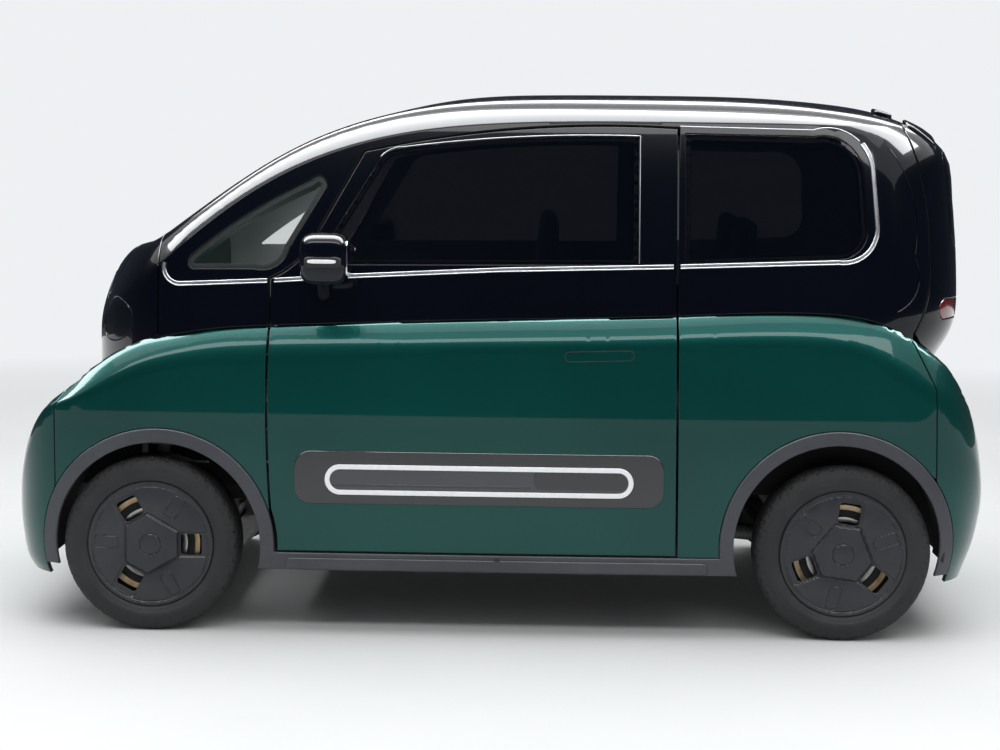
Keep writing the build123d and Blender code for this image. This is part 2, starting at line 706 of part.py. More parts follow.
def knuckle():
    """Left front knuckle, strut and steering arm, which turn on the kingpin."""
    y = KINGPIN_Y - 22
    post = rod((FRONT_AXLE, y - 4, AXLE_Z - 88), (FRONT_AXLE, y - 4, AXLE_Z + 90), 20)
    stub = rod_y(FRONT_AXLE, AXLE_Z, STUB_RADIUS, y - 20, WHEEL_Y - 14)
    carrier = rod_y(FRONT_AXLE, AXLE_Z, 48, y - 16, y + 18)
    foot = Vector(FRONT_AXLE, y - 8, AXLE_Z + 76)
    lean = (Vector(FRONT_AXLE - 20, y - 44, 732) - foot).normalized()

    def stretch(start, end, radius):
        return rod(foot + lean * start, foot + lean * end, radius)

    strut = stretch(0, 270, 20)
    seat = stretch(196, 208, 58)
    piston = stretch(260, 394, 11)
    coil = stretch(207, 381, 52) - stretch(200, 390, 40)
    cap = stretch(380, 388, 58)
    arm = rod((FRONT_AXLE, y, AXLE_Z - 40), (FRONT_AXLE - STEERING_ARM, y - 14, AXLE_Z - 40), 13)
    eye = rod(
        (FRONT_AXLE - STEERING_ARM, y - 14, AXLE_Z - 56), (FRONT_AXLE - STEERING_ARM, y - 14, AXLE_Z - 26), 17
    )
    return post + stub + carrier + strut + seat + piston + coil + cap + arm + eye


def floor_pan():
    """Floor, sills, rails, bulkhead, strut towers and rear load floor, welded into one pressing."""
    half = block(LOAD_FLOOR_X, FIREWALL_X, 0, SILL_OUTER_Y, FLOOR_Z, FLOOR_Z + FLOOR_WALL)
    half += block(LOAD_FLOOR_X - 40, FIREWALL_X, SILL_INNER_Y, SILL_OUTER_Y, 205, FLOOR_Z + 90)
    half += block(FIREWALL_X - 16, FIREWALL_X, 0, SILL_OUTER_Y, FLOOR_Z, 1010)
    half += block(FIREWALL_X - 10, NOSE - 190, RAIL_INNER_Y, RAIL_OUTER_Y, RAIL_BOTTOM, 450)
    half += block(NOSE - 230, NOSE - 190, 0, RAIL_OUTER_Y, 330, 470)
    tower = block(FRONT_AXLE - 110, FRONT_AXLE + 80, RAIL_INNER_Y, 690, 742, 760)
    tower += block(FRONT_AXLE - 110, FRONT_AXLE + 80, RAIL_INNER_Y, RAIL_INNER_Y + 14, 440, 760)
    tower += block(FIREWALL_X - 10, FRONT_AXLE + 80, 560, 600, 742, 800)
    half += tower
    rear = block(TAIL + 150, LOAD_FLOOR_X + FLOOR_WALL, 0, 590, LOAD_FLOOR_Z, LOAD_FLOOR_Z + FLOOR_WALL)
    rear += block(LOAD_FLOOR_X, LOAD_FLOOR_X + FLOOR_WALL, 0, SILL_OUTER_Y, FLOOR_Z, LOAD_FLOOR_Z + FLOOR_WALL)
    rear += block(TAIL + 110, LOAD_FLOOR_X + 6, 440, 500, REAR_RAIL_BOTTOM, LOAD_FLOOR_Z + 2)
    rear += block(TAIL + 110, TAIL + 160, 0, 590, REAR_RAIL_BOTTOM - 30, LOAD_FLOOR_Z + 2)
    post = block(LOAD_FLOOR_X - 20, DOOR_REAR - 22, 690, 728, FLOOR_Z, 905)
    return whole(half + rear + post)


def front_suspension():
    """Lower arms, cross member and steering rack housing."""
    arm_z = AXLE_Z - 108
    y = KINGPIN_Y - 22
    arm = plan_prism([
        ("to", FRONT_AXLE - 30, y + 22),
        ("to", FRONT_AXLE + 30, y + 22),
        ("to", FRONT_AXLE + 70, 400),
        ("to", FRONT_AXLE + 40, 330),
        ("to", FRONT_AXLE - 190, 330),
        ("to", FRONT_AXLE - 150, 400),
    ], arm_z, arm_z + 16)
    beam = block(FRONT_AXLE - 200, FRONT_AXLE + 50, -1, 350, arm_z, arm_z + 16)
    mount = block(FRONT_AXLE - 190, FRONT_AXLE - 130, 300, 425, arm_z + 14, RAIL_BOTTOM)
    return whole(left_of_middle(arm + beam + mount))


def tie_rods():
    """Rack bar with both tie rods, which slides across the car as the wheels steer."""
    x, z = FRONT_AXLE - STEERING_ARM, AXLE_Z - 73
    half = rod_y(x, z, 12, -1, KINGPIN_Y - 36)
    half += rod((x, KINGPIN_Y - 36, z - 9), (x, KINGPIN_Y - 36, z + 13), 15)
    return whole(left_of_middle(half))


def tow_socket():
    """Threaded tube for a towing eye, welded to the front cross member."""
    x0, x1 = NOSE - 190, NOSE - TOW_MOUTH
    tube = rod((x0, TOW_Y, TOW_Z), (x1, TOW_Y, TOW_Z), TOW_BORE + TOW_WALL)
    return tube - rod((x1 - TOW_BORE_DEPTH, TOW_Y, TOW_Z), (x1 + 1, TOW_Y, TOW_Z), TOW_BORE)


def rear_suspension():
    """Rear axle beam, trailing arms, springs and brake drums."""
    beam_x = REAR_AXLE - 150
    half = rod_y(beam_x, AXLE_Z - 20, 32, -1, 600)
    half += rod((beam_x, 560, AXLE_Z - 20), (REAR_AXLE, 560, AXLE_Z), 26)
    half += rod((REAR_AXLE, 560, AXLE_Z), (REAR_AXLE + 330, 500, AXLE_Z + 20), 24)
    half += rod((REAR_AXLE + 330, 440, AXLE_Z + 20), (REAR_AXLE + 330, 560, AXLE_Z + 20), 30)
    half += block(REAR_AXLE + 305, REAR_AXLE + 355, 450, 490, AXLE_Z + 20, REAR_RAIL_BOTTOM)
    half += rod_y(REAR_AXLE, AXLE_Z, 100, 585, WHEEL_Y - RIM_WIDTH / 2 - 12)
    half += rod_y(REAR_AXLE, AXLE_Z, 40, 540, 600)
    half += rod_y(REAR_AXLE, AXLE_Z, STUB_RADIUS, 600, WHEEL_Y - 14)
    half += rod((beam_x + 20, 470, AXLE_Z), (beam_x + 20, 470, REAR_RAIL_BOTTOM), 45)
    half += rod_y(REAR_AXLE, AXLE_Z, 14, 150, 560)
    return whole(left_of_middle(half))


def seat(x, y, width):
    """Seat with cushion, back and head rest."""
    cushion = prism([
        ("to", x - 210, 440), ("to", x + 250, 470), ("via", x + 285, 505), ("end", x + 250, 545),
        ("to", x - 120, 500), ("to", x - 205, 520),
    ], at_y(y - width / 2), (0, width, 0))
    back = prism([
        ("to", x - 225, 450), ("to", x - 120, 480), ("to", x - 235, 1040), ("via", x - 275, 1062),
        ("end", x - 318, 1030),
    ], at_y(y - width / 2 + 15), (0, width - 30, 0))
    rest = prism([
        ("to", x - 322, 1085), ("to", x - 240, 1078), ("to", x - 258, 1215), ("via", x - 285, 1228),
        ("end", x - 318, 1205),
    ], at_y(y - 120), (0, 240, 0))
    posts = rod((x - 272, y - 55, 1040), (x - 284, y - 55, 1100), 7) + rod(
        (x - 272, y + 55, 1040), (x - 284, y + 55, 1100), 7
    )
    base = block(x - 180, x + 180, y - width / 2 + 40, y + width / 2 - 40, FLOOR_Z + FLOOR_WALL, 465)
    return cushion + back + rest + posts + base


def rear_bench():
    """Rear bench with one back for two people."""
    cushion = prism([
        ("to", LOAD_FLOOR_X - 40, 603), ("to", LOAD_FLOOR_X + 14, 603), ("to", LOAD_FLOOR_X + 14, 420),
        ("to", -300, 440), ("via", -262, 480), ("end", -290, 520), ("to", LOAD_FLOOR_X - 10, 640),
    ], at_y(-570), (0, 1140, 0))
    legs = block(-570, -340, -480, 480, FLOOR_Z + FLOOR_WALL, 432)
    back = prism([
        ("to", -700, 606), ("to", -590, 606), ("to", -700, 1090), ("via", -735, 1110), ("end", -770, 1080),
    ], at_y(-560), (0, 1120, 0))
    rests = [
        prism([("to", -775, 1100), ("to", -700, 1085), ("to", -712, 1215), ("via", -740, 1226),
               ("end", -778, 1200)], at_y(side * 290 - 115), (0, 230, 0))
        for side in (-1, 1)
    ]
    return cushion + legs + back + rests[0] + rests[1]


def dashboard():
    """Dash from pillar to pillar, and the steering column's cowl."""
    panel = prism([
        ("to", FIREWALL_X - 16, 560), ("to", FIREWALL_X - 16, 1000), ("to", FIREWALL_X + 110, 1040),
        ("via", FIREWALL_X - 60, 1052), ("end", FIREWALL_X - 150, 990), ("via", FIREWALL_X - 172, 900),
        ("end", FIREWALL_X - 120, 800), ("to", FIREWALL_X - 90, 560),
    ], at_y(-660), (0, 1320, 0))
    panel = panel - block(FIREWALL_X - 17, FIREWALL_X + 1, -700, 700, 500, 1012)
    x, y, z = STEERING_WHEEL_CENTRE
    dx, dz = math.cos(math.radians(COLUMN_ANGLE)), -math.sin(math.radians(COLUMN_ANGLE))
    cowl = rod((x + 60 * dx, y, z + 60 * dz), (x + 200 * dx, y, z + 200 * dz), 46)
    return panel + cowl


def steering_wheel():
    """Rim, hub, two spokes and a short shaft."""
    x, y, z = STEERING_WHEEL_CENTRE
    plane = Plane(origin=STEERING_WHEEL_CENTRE,
                  z_dir=(-math.cos(math.radians(COLUMN_ANGLE)), 0, math.sin(math.radians(COLUMN_ANGLE))),
                  x_dir=(0, 1, 0))
    ring = Torus(STEERING_WHEEL_RADIUS, 15)
    hub = Pos(0, 0, -14) * Cylinder(52, 36)
    spokes = Pos(0, 0, -10) * Box(2 * STEERING_WHEEL_RADIUS - 8, 44, 16)
    shaft = Pos(0, 0, -42) * Cylinder(16, 30)
    return plane * (ring + hub + spokes + shaft)


def mirror_head():
    """Door mirror: a rounded housing on a short arm from the belt line."""
    head = Pos(498, 885, 1104) * Box(140, 168, 146)
    head = fillet(head.edges(), 44)
    arm = rod((515, 752, 985), (508, 860, 1070), 21)
    return (head + arm) - CABIN


def main():
    os.makedirs("parts", exist_ok=True)
    arches = FRONT_TRIM_DISC + REAR_TRIM_DISC
    underside = block(REAR_ARCH[0], FRONT_ARCH[0], 0, 1000, 100, SILL_TOP)
    side = TUB_PANEL - arches - DOOR_APERTURE - underside - FRONT_BUMPER_REGION - REAR_BUMPER_REGION
    fender = side & block(DOOR_FRONT - 10, FAR, 0, 1000, 100, 1000)
    quarter = side & block(-FAR, DOOR_REAR + 10, 0, 1000, 100, 1000)
    bumpers = TUB_PANEL - arches
    tow_hole = rod((NOSE - 80, TOW_Y, TOW_Z), (NOSE + 20, TOW_Y, TOW_Z), TOW_COVER_RADIUS)
    front_bumper = whole(bumpers & FRONT_BUMPER_REGION) - tow_hole
    rear_bumper = whole(bumpers & REAR_BUMPER_REGION)

    shell = cabin_half()
    mask_region = block(NOSE - 447, FAR, -10, 1000, 500, 1200)
    lamp_region = front_prism(HEAD_LAMP, 900, FAR)
    mask = whole((shell & mask_region) - lamp_region)
    lamps = (CABIN - CABIN_INNER - TUB) & lamp_region
    cabin_shell = whole(shell - mask_region)
    windscreen = whole((CABIN - CABIN_UNDER_SKIN) & windscreen_region())
    bonnet = whole((CABIN - left_of_middle(cabin(TUB_SKIN))) & bonnet_region())

    write("front_bumper", front_bumper)
    write("rear_bumper", rear_bumper)
    write("front_mask", mask)
    write("head_lamps", pair(lamps))
    write("cabin_shell", cabin_shell)
    write("windscreen", windscreen)
    write("bonnet", bonnet)
    write("quarter_glass", pair(side_pane(QUARTER_GLASS)))
    write("rear_side_glass", pair(side_pane(REAR_GLASS)))
    write("tailgate", whole(tailgate_half()))
    write("tailgate_glass", whole((CABIN - CABIN_UNDER_SKIN) & rear_window_region()))
    write("tail_lamps", pair((CABIN - CABIN_INNER) & front_prism(TAIL_LAMP, TAIL - 50, TAIL + 200)))

    strip = moulding()
    write("belt_moulding", pair(belt_strip(strip)))
    sides = {
        "fender": fender,
        "quarter": quarter,
        "cladding": cladding(),
        "door": door_lower(),
        "door_upper": door_upper(),
        "door_glass": side_pane(DOOR_GLASS),
        "door_trim": door_trim(strip),
        "mirror": mirror_head(),
        "knuckle": knuckle(),
        "tyre_front": tyre(FRONT_AXLE, AXLE_Z),
        "tyre_rear": tyre(REAR_AXLE, AXLE_Z),
        "wheel_front": wheel(FRONT_AXLE, AXLE_Z, FRONT_WINDOW_TURN),
        "wheel_rear": wheel(REAR_AXLE, AXLE_Z, REAR_WINDOW_TURN),
    }
    for name, piece in sides.items():
        write(name + "_left", piece)
        write(name + "_right", mirrored(piece))

    write("wheel_liners", pair(front_liner() + liner(REAR_ARCH, REAR_LINER_RADIUS, 598)))
    write("floor_pan", floor_pan())
    write("front_suspension", front_suspension())
    write("rear_suspension", rear_suspension())
    write("tie_rods", tie_rods())
    write("tow_socket", tow_socket())
    write("battery_pack", block(-560, 640, -600, 600, 160, FLOOR_Z))
    write("drive_motor", rod_y(REAR_AXLE, AXLE_Z + 40, 120, -140, 140) + block(
        REAR_AXLE - 60, REAR_AXLE + 160, -120, 120, AXLE_Z + 100, AXLE_Z + 210))
    write("seat_left", seat(150, 330, 470))
    write("seat_right", seat(150, -330, 470))
    write("rear_bench", rear_bench())
    write("dashboard", dashboard())
    write("steering_wheel", steering_wheel())


if __name__ == "__main__":
    main()
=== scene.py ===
"""Looks of the small electric city car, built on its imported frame.

Lengths in this file are in millimetres, and MM turns them into the frame's metres.
The painted body is cut from two smooth forms, the tub and the cabin. Each form is a field: a number at every
point of space that is negative inside and zero on the surface. A panel is the part of a form inside a closed
outline, filled with triangles, given a rounded edge, a turned-in wall and an inner face.
"""

import math
import bpy
import numpy as np
from mathutils import Matrix, Vector
from mathutils.geometry import delaunay_2d_cdt


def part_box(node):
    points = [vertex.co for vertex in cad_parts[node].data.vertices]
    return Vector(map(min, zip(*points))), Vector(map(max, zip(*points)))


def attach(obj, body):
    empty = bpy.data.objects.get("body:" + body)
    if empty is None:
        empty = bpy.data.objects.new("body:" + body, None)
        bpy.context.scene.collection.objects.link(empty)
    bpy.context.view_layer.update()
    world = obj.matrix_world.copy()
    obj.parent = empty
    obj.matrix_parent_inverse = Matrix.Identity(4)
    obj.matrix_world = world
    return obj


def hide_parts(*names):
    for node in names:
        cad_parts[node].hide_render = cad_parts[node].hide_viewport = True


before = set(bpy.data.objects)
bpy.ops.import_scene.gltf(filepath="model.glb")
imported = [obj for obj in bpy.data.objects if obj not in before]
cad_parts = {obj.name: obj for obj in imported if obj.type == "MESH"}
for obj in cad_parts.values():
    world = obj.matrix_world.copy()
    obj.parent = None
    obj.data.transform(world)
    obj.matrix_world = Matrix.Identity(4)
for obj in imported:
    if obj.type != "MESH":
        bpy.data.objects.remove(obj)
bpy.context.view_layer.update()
MM = 0.001


def span(node):
    """Lowest and highest corner of a node, in millimetres."""
    low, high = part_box(node)
    return np.array(low) / MM, np.array(high) / MM


# Sizes taken from the frame
NOSE = span("front_bumper")[1][0]
TAIL = span("rear_bumper")[0][0]
HALF = span("door_left")[1][1]
HEIGHT = span("cabin_shell")[1][2]
FRONT_WHEEL = sum(span("tyre_front_left")) / 2
REAR_WHEEL = sum(span("tyre_rear_left")) / 2
TYRE_HALF = (span("tyre_front_left")[1] - FRONT_WHEEL)[1]

# Panels
SKIN = 14.0
DOOR_WALL = 84.0
CABIN_WALL = 34.0
GLASS = 6.0
GAP = 6.0
GLASS_GAP = 1.5
REBATE = 16.0
FLANGE = 15.0
EDGE = 2.2
PROUD = 5.0
LEDGE_WIDTH = 48.0
FALL_WIDTH = 40.0
FALL_POWER = 1.4

# Wheel arches
FRONT_ARCH = (FRONT_WHEEL[0] - 22, FRONT_WHEEL[2])
REAR_ARCH = (REAR_WHEEL[0] + 18, REAR_WHEEL[2] + 18)
ARCH_RADIUS = 302.0
TRIM_RADIUS = 343.0
SILL_BOTTOM = 192.0
DOOR_BOTTOM = 249.0
SILL_TOP = DOOR_BOTTOM - GAP
HALF_SEAM = 1.5
DOOR_FRONT = 668.0
DOOR_REAR = -507.0


def curve(*knots):
    """Natural cubic spline through (position, value) knots, straight beyond its ends."""
    t, v = np.array(sorted(knots), float).T
    h, n = np.diff(t), len(t)
    a, b, k = np.eye(n), np.zeros(n), np.arange(1, n - 1)
    a[k, k - 1], a[k, k], a[k, k + 1] = h[:-1], 2 * (h[:-1] + h[1:]), h[1:]
    b[1:-1] = 6 * np.diff(np.diff(v) / h)
    m = np.linalg.solve(a, b)
    first, last = (v[1] - v[0]) / h[0] - h[0] * m[1] / 6, (v[-1] - v[-2]) / h[-1] + h[-1] * m[-2] / 6

    def value(x):
        x = np.asarray(x, float)
        c = np.clip(x, t[0], t[-1])
        i = np.clip(np.searchsorted(t, c) - 1, 0, n - 2)
        p, q = t[i + 1] - c, c - t[i]
        bend = (m[i] * p**3 + m[i + 1] * q**3) / (6 * h[i])
        line = (v[i] / h[i] - m[i] * h[i] / 6) * p + (v[i + 1] / h[i] - m[i + 1] * h[i] / 6) * q
        return bend + line + (x - c) * np.where(x < t[0], first, last)

    return value


def steepness(f, x):
    """Length of the slope of f at x, which turns a height above f into a distance from it."""
    return np.sqrt(1 + ((f(x + 1) - f(x - 1)) / 2) ** 2)


def corner(a, b, r):
    """Intersection of two solids given by their distances a and b, with its edge rounded to radius r."""
    return np.minimum(np.maximum(a, b), -r) + np.hypot(np.maximum(a + r, 0), np.maximum(b + r, 0))


# The tub: top edge of the ledge over x, its fall to the crease, reach of nose and tail and half width over z
TUB_TOP = curve(
    (TAIL + 12, 520), (TAIL + 43, 637), (TAIL + 76, 701), (TAIL + 128, 782), (TAIL + 205, 851),
    (TAIL + 280, 900),
    (TAIL + 381, 941), (-913, 959), (-501, 947), (2, 931), (670, 905), (NOSE - 587, 890), (NOSE - 476, 870),
    (NOSE - 401, 852), (NOSE - 345, 829), (NOSE - 294, 800), (NOSE - 175, 706), (NOSE - 112, 652),
    (NOSE - 82, 612),
    (NOSE - 48, 559), (NOSE - 12, 490),
)
LEDGE_FALL = curve(
    (TAIL, 40), (TAIL + 82, 70), (TAIL + 174, 87), (TAIL + 296, 88), (TAIL + 417, 71), (-921, 65),
    (-504, 60), (1, 59),
    (671, 58), (853, 55), (984, 54), (1075, 59), (1149, 56), (1228, 38), (1276, 23), (1323, 8),
    (NOSE - 60, 0), (NOSE, 0),
)
NOSE_REACH = curve((100, -62), (157, -37), (177, -24), (225, -10), (303, -1), (400, 0), (560, 0), (900, 0))
TAIL_REACH = curve((100, 80), (150, 67), (195, 52), (258, 29), (359, 8), (419, 0), (560, 0), (900, 0))
TUB_SECTION = curve((100, -22), (150, -17), (350, -4), (560, 0), (900, -9), (1000, -12))
TUB_CREASE = curve(
    (TAIL, 28), (TAIL + 150, 11), (TAIL + 320, 8), (0, 8), (NOSE - 300, 8), (NOSE - 100, 16), (NOSE, 48),
)
TUB_CORNER = 235.0


def tub_wall(p):
    """Distance outside the tub's upright wall: a box with bowed faces and rounded corners in plan."""
    x, y, z = p[..., 0], np.abs(p[..., 1]), p[..., 2]
    bow = 3 * (y / 554) ** 2
    side = y - (HALF - 17 * (x / 1182) ** 2 + TUB_SECTION(z))
    nose = x - (NOSE + NOSE_REACH(z) - bow)
    tail = (TAIL + TAIL_REACH(z) + bow) - x
    return corner(corner(side, nose, TUB_CORNER), tail, TUB_CORNER)


def tub_field(p):
    """The wall, cut by a top that follows TUB_TOP and falls over the ledge towards the wall."""
    x, z = p[..., 0], p[..., 2]
    wall = tub_wall(p)
    t = np.clip((wall + LEDGE_WIDTH) / FALL_WIDTH, 0, 1.2)
    fall = LEDGE_FALL(x)
    slope = np.hypot(steepness(TUB_TOP, x), fall * FALL_POWER * t ** (FALL_POWER - 1) / FALL_WIDTH)
    return corner(wall, (z - TUB_TOP(x) + fall * t**FALL_POWER) / slope, TUB_CREASE(x))


# The cabin: top line over x at the side, its crown, reach of the tail and half width over z
CABIN_TOP = curve(
    (TAIL, 1352), (TAIL + 133, 1429), (TAIL + 268, 1489), (TAIL + 450, 1526), (TAIL + 680, 1550),
    (-457, 1558),
    (-128, 1555), (200, 1537), (453, 1484), (604, 1422), (736, 1345), (888, 1237), (NOSE - 440, 1152),
    (NOSE - 400, 1131), (NOSE - 352, 1118), (NOSE - 311, 1098), (NOSE - 252, 1046), (NOSE - 217, 1005),
    (NOSE - 195, 955),
    (NOSE - 184, 905),
)
CROWN = curve(
    (TAIL, 30), (TAIL + 268, 50), (-767, 42), (-128, 39), (200, 30), (300, 21), (453, 9), (736, 5),
    (1020, 7), (1260, 8),
)
CABIN_TAIL = curve(
    (620, 200), (830, 127), (876, 98), (943, 76), (1016, 73), (1194, 80), (1315, 88), (1400, 97),
    (1440, 112), (1500, 150),
)
CABIN_HALF = curve((600, 780), (900, 774), (1070, 759), (1290, 720), (1490, 670), (1600, 637))
BAND_LINE = curve(
    (-1400, 1499), (-864, 1500), (-497, 1501), (11, 1492), (261, 1466), (447, 1422), (634, 1344),
    (822, 1221), (982, 1087),
    (1100, 985), (1200, 890),
)
CABIN_EDGE = curve((TAIL, 30), (-900, 45), (0, 32), (700, 24), (1000, 26), (1150, 16), (NOSE, 8))
CHEEK_X = 1080.0
BREAK_RADIUS = 90.0


def cabin_field(p):
    """Side planes that break inwards past a line along pillars and roof, cut by top, front and tail."""
    x, y, z = p[..., 0], np.abs(p[..., 1]), p[..., 2]
    above, ahead = (z - BAND_LINE(x)) / steepness(BAND_LINE, x), x - CHEEK_X
    past = np.maximum(corner(above, ahead, BREAK_RADIUS), 0)
    fall = 0.42 * past + 0.0095 * np.maximum(above, 0) ** 2
    lean = 0.3 + 0.016 * np.clip(above, 0, 100)
    side = (y - CABIN_HALF(z) + np.minimum(fall, 300)) / np.sqrt(1 + lean**2)
    front = x - (NOSE - 180 - 82 * (y / 640) ** 2)
    tail = (TAIL + CABIN_TAIL(z) - 6 + 8 * (y / 470) ** 2) - x
    wall = corner(corner(side, front, 260), tail, 340)
    top = CABIN_TOP(x) + CROWN(x) * (1 - np.minimum(y / 680, 1.2) ** 2)
    return corner(wall, (z - top) / steepness(CABIN_TOP, x), CABIN_EDGE(x))


def break_line(x0, x1, offset):
    """Side view points of the line where the cabin's side breaks inwards, offset to the outside of it.

    Past the last stretch before CHEEK_X it turns down through a quarter circle and on to the tub.
    """
    bend_x = CHEEK_X - BREAK_RADIUS
    x = np.linspace(x0, min(x1, bend_x), max(2, int(abs(x1 - x0) / 16)))
    points = [np.stack([x, BAND_LINE(x) + offset * steepness(BAND_LINE, x)], -1)] if x0 < bend_x else []
    if x1 > bend_x:
        t, radius = np.radians(np.linspace(0, 90, 12)), BREAK_RADIUS + offset
        x = bend_x + radius * np.sin(t)
        lift = radius * np.cos(t) - BREAK_RADIUS
        turn = np.stack([x, BAND_LINE(x) + lift * steepness(BAND_LINE, x)], -1)
        down = np.linspace(turn[-1, 1] - 12, TUB_TOP(CHEEK_X) + 14, 9)
        points += [turn[turn[:, 0] > x0], np.stack([np.full(9, CHEEK_X + offset), down], -1)]
    return np.vstack(points)


def unit(v):
    """Vectors scaled to length one."""
    return v / np.maximum(np.linalg.norm(v, axis=-1, keepdims=True), 1e-9)


def cast(field, start, direction, reach=2600.0):
    """Points where rays from inside a form leave it, by halving the stretch that holds the surface."""
    near = np.zeros(start.shape[:-1] + (1,))
    far = near + reach
    for _ in range(30):
        middle = (near + far) / 2
        inside = (field(start + direction * middle) < 0)[..., None]
        near, far = np.where(inside, middle, near), np.where(inside, far, middle)
    return start + direction * (near + far) / 2


def facing(field, p, step=0.5):
    """Outward directions of a form's surface: the slope of its field, by central differences."""
    slopes = [field(p + step * axis) - field(p - step * axis) for axis in np.eye(3)]
    return unit(np.stack(slopes, -1))


def triple(x, y, z):
    """Points from three coordinates, any of which may be a single number."""
    return np.stack(np.broadcast_arrays(*(np.asarray(a, float) for a in (x, y, z))), -1)


def from_side(field, xz, side=1):
    """Points of a form seen from the left (or right, with side -1) at (x, z)."""
    xz = np.asarray(xz, float)
    return cast(field, triple(xz[..., 0], 0, xz[..., 1]), np.array([0.0, side, 0.0]))


def from_above(field, xy, low=650.0):
    """Points of a form seen from above at (x, y)."""
    xy = np.asarray(xy, float)
    return cast(field, triple(xy[..., 0], xy[..., 1], low), np.array([0.0, 0.0, 1.0]))


def from_end(field, yz, sign):
    """Points of a form seen from the front (sign 1) or the back (sign -1) at (y, z)."""
    yz = np.asarray(yz, float)
    return cast(field, triple(sign * 700, yz[..., 0], yz[..., 1]), np.array([float(sign), 0.0, 0.0]))


def legs(rows, step=9.0):
    """Points along an outline: (u, v) is a straight leg, [(u, v), (u, v)] an arc through one to the next."""
    points = [np.array(rows[0], float)]
    for row in rows[1:]:
        here = points[-1]
        if isinstance(row, list):
            via, end = np.array(row[0], float), np.array(row[1], float)
            m = 2 * np.array([via - here, end - here])
            centre = np.linalg.solve(m, [via @ via - here @ here, end @ end - here @ here])
            a, b, c = (math.atan2(*(q - centre)[::-1]) for q in (here, via, end))
            turn, full = (b - a) % (2 * math.pi), (c - a) % (2 * math.pi)
            full = full if turn < full else full - 2 * math.pi
            radius = np.linalg.norm(here - centre)
            count = max(3, int(abs(full) * radius / step))
            angle = a + full * np.arange(1, count + 1) / count
            points.extend(centre + radius * np.stack([np.cos(angle), np.sin(angle)], -1))
        else:
            end = np.array(row, float)
            count = max(1, int(np.linalg.norm(end - here) / step))
            points.extend(here + (end - here) * k / count for k in range(1, count + 1))
    return np.array(points)


def ring(rows, step=9.0):
    """Points along a closed outline, without its first point again at the end."""
    line = legs(rows, step)
    if np.linalg.norm(line[0] - line[-1]) > 0.5:
        line = np.vstack([line, legs([line[-1], line[0]], step)[1:]])
    return line[:-1]


def turning(line):
    """Twice the area inside a closed 2-D line, positive where it runs anticlockwise."""
    return np.sum(line[:, 0] * np.roll(line[:, 1], -1) - np.roll(line[:, 0], -1) * line[:, 1])


def grown(line, amount):
    """A closed 2-D line moved to its outside by amount, with mitred corners."""
    ahead, back = unit(np.roll(line, -1, 0) - line), unit(line - np.roll(line, 1, 0))
    middle = unit(ahead + back)
    cosine = np.maximum((middle * ahead).sum(-1, keepdims=True), 0.5)
    outward = np.stack([middle[:, 1], -middle[:, 0]], -1) * np.sign(turning(line))
    return line + outward * amount / cosine


def circle_line(centre, radius, start, end, step=9.0):
    """Points of an arc in the side view, between two angles in degrees."""
    count = max(4, int(abs(math.radians(end - start)) * radius / step))
    a = np.radians(np.linspace(start, end, count + 1))
    return np.stack([centre[0] + radius * np.cos(a), centre[1] + radius * np.sin(a)], -1)


def bearing(point, centre):
    """Angle in degrees at which a side view point is seen from a centre."""
    return math.degrees(math.atan2(point[1] - centre[1], point[0] - centre[0]))


class Form:
    """Points, faces, point normals and a finish number for each face. Forms add up into one mesh."""

    def __init__(self, points, faces, normals, layers=None, layer=0):
        self.points = np.asarray(points, float).reshape(-1, 3)
        self.normals = np.asarray(normals, float).reshape(-1, 3)
        self.faces = [np.asarray(f, int) for f in faces]
        self.layers = layers or [np.full(len(f), layer) for f in self.faces]

    def __add__(self, other):
        shift = len(self.points)
        return Form(
            np.vstack([self.points, other.points]),
            self.faces + [f + shift for f in other.faces],
            np.vstack([self.normals, other.normals]),
            self.layers + other.layers,
        )

    def mirrored(self):
        """The same form on the other side of the car."""
        flip = np.array([1.0, -1.0, 1.0])
        return Form(self.points * flip, [f[:, ::-1] for f in self.faces], self.normals * flip, self.layers)

    def outward(self, centres):
        """The form with its faces turned away from its centres, one for every point or one for all."""
        if ((self.points - np.reshape(centres, (-1, 3))) * self.normals).sum() >= 0:
            return self
        return Form(self.points, [f[:, ::-1] for f in self.faces], -self.normals, self.layers)

    def layered(self, layer):
        """The form with another finish number."""
        return Form(self.points, self.faces, self.normals, layer=layer)


def both(form):
    """A form and its mirror image."""
    return form + form.mirrored()


def doubled(lines):
    """3-D lines, then the same lines on the other side of the car."""
    return lines + [line * [1, -1, 1] for line in lines]


def grid(p, loop_u=False, loop_v=False, layer=0):
    """Quads over rows and columns of points. Normals are the cross product of the two central differences."""
    def slope(axis, loop):
        return np.roll(p, -1, axis) - np.roll(p, 1, axis) if loop else np.gradient(p, axis=axis)

    normals = unit(np.cross(slope(0, loop_u), slope(1, loop_v)))
    for edge, inner in ((0, 1), (-1, -2)):
        if np.ptp(p[edge], axis=0).max() < 1e-6:
            normals[edge] = unit(normals[inner].mean(0))
    rows, cols = p.shape[:2]
    i, j = np.meshgrid(np.arange(rows - (not loop_u)), np.arange(cols - (not loop_v)), indexing="ij")
    i2, j2 = (i + 1) % rows, (j + 1) % cols
    faces = np.stack([i * cols + j, i2 * cols + j, i2 * cols + j2, i * cols + j2], -1).reshape(-1, 4)
    return Form(p, [faces], normals, layer=layer)


# Radii that turn a map's angles into millimetres
FAN_RADIUS = 780.0
ROUND_RADIUS = 600.0


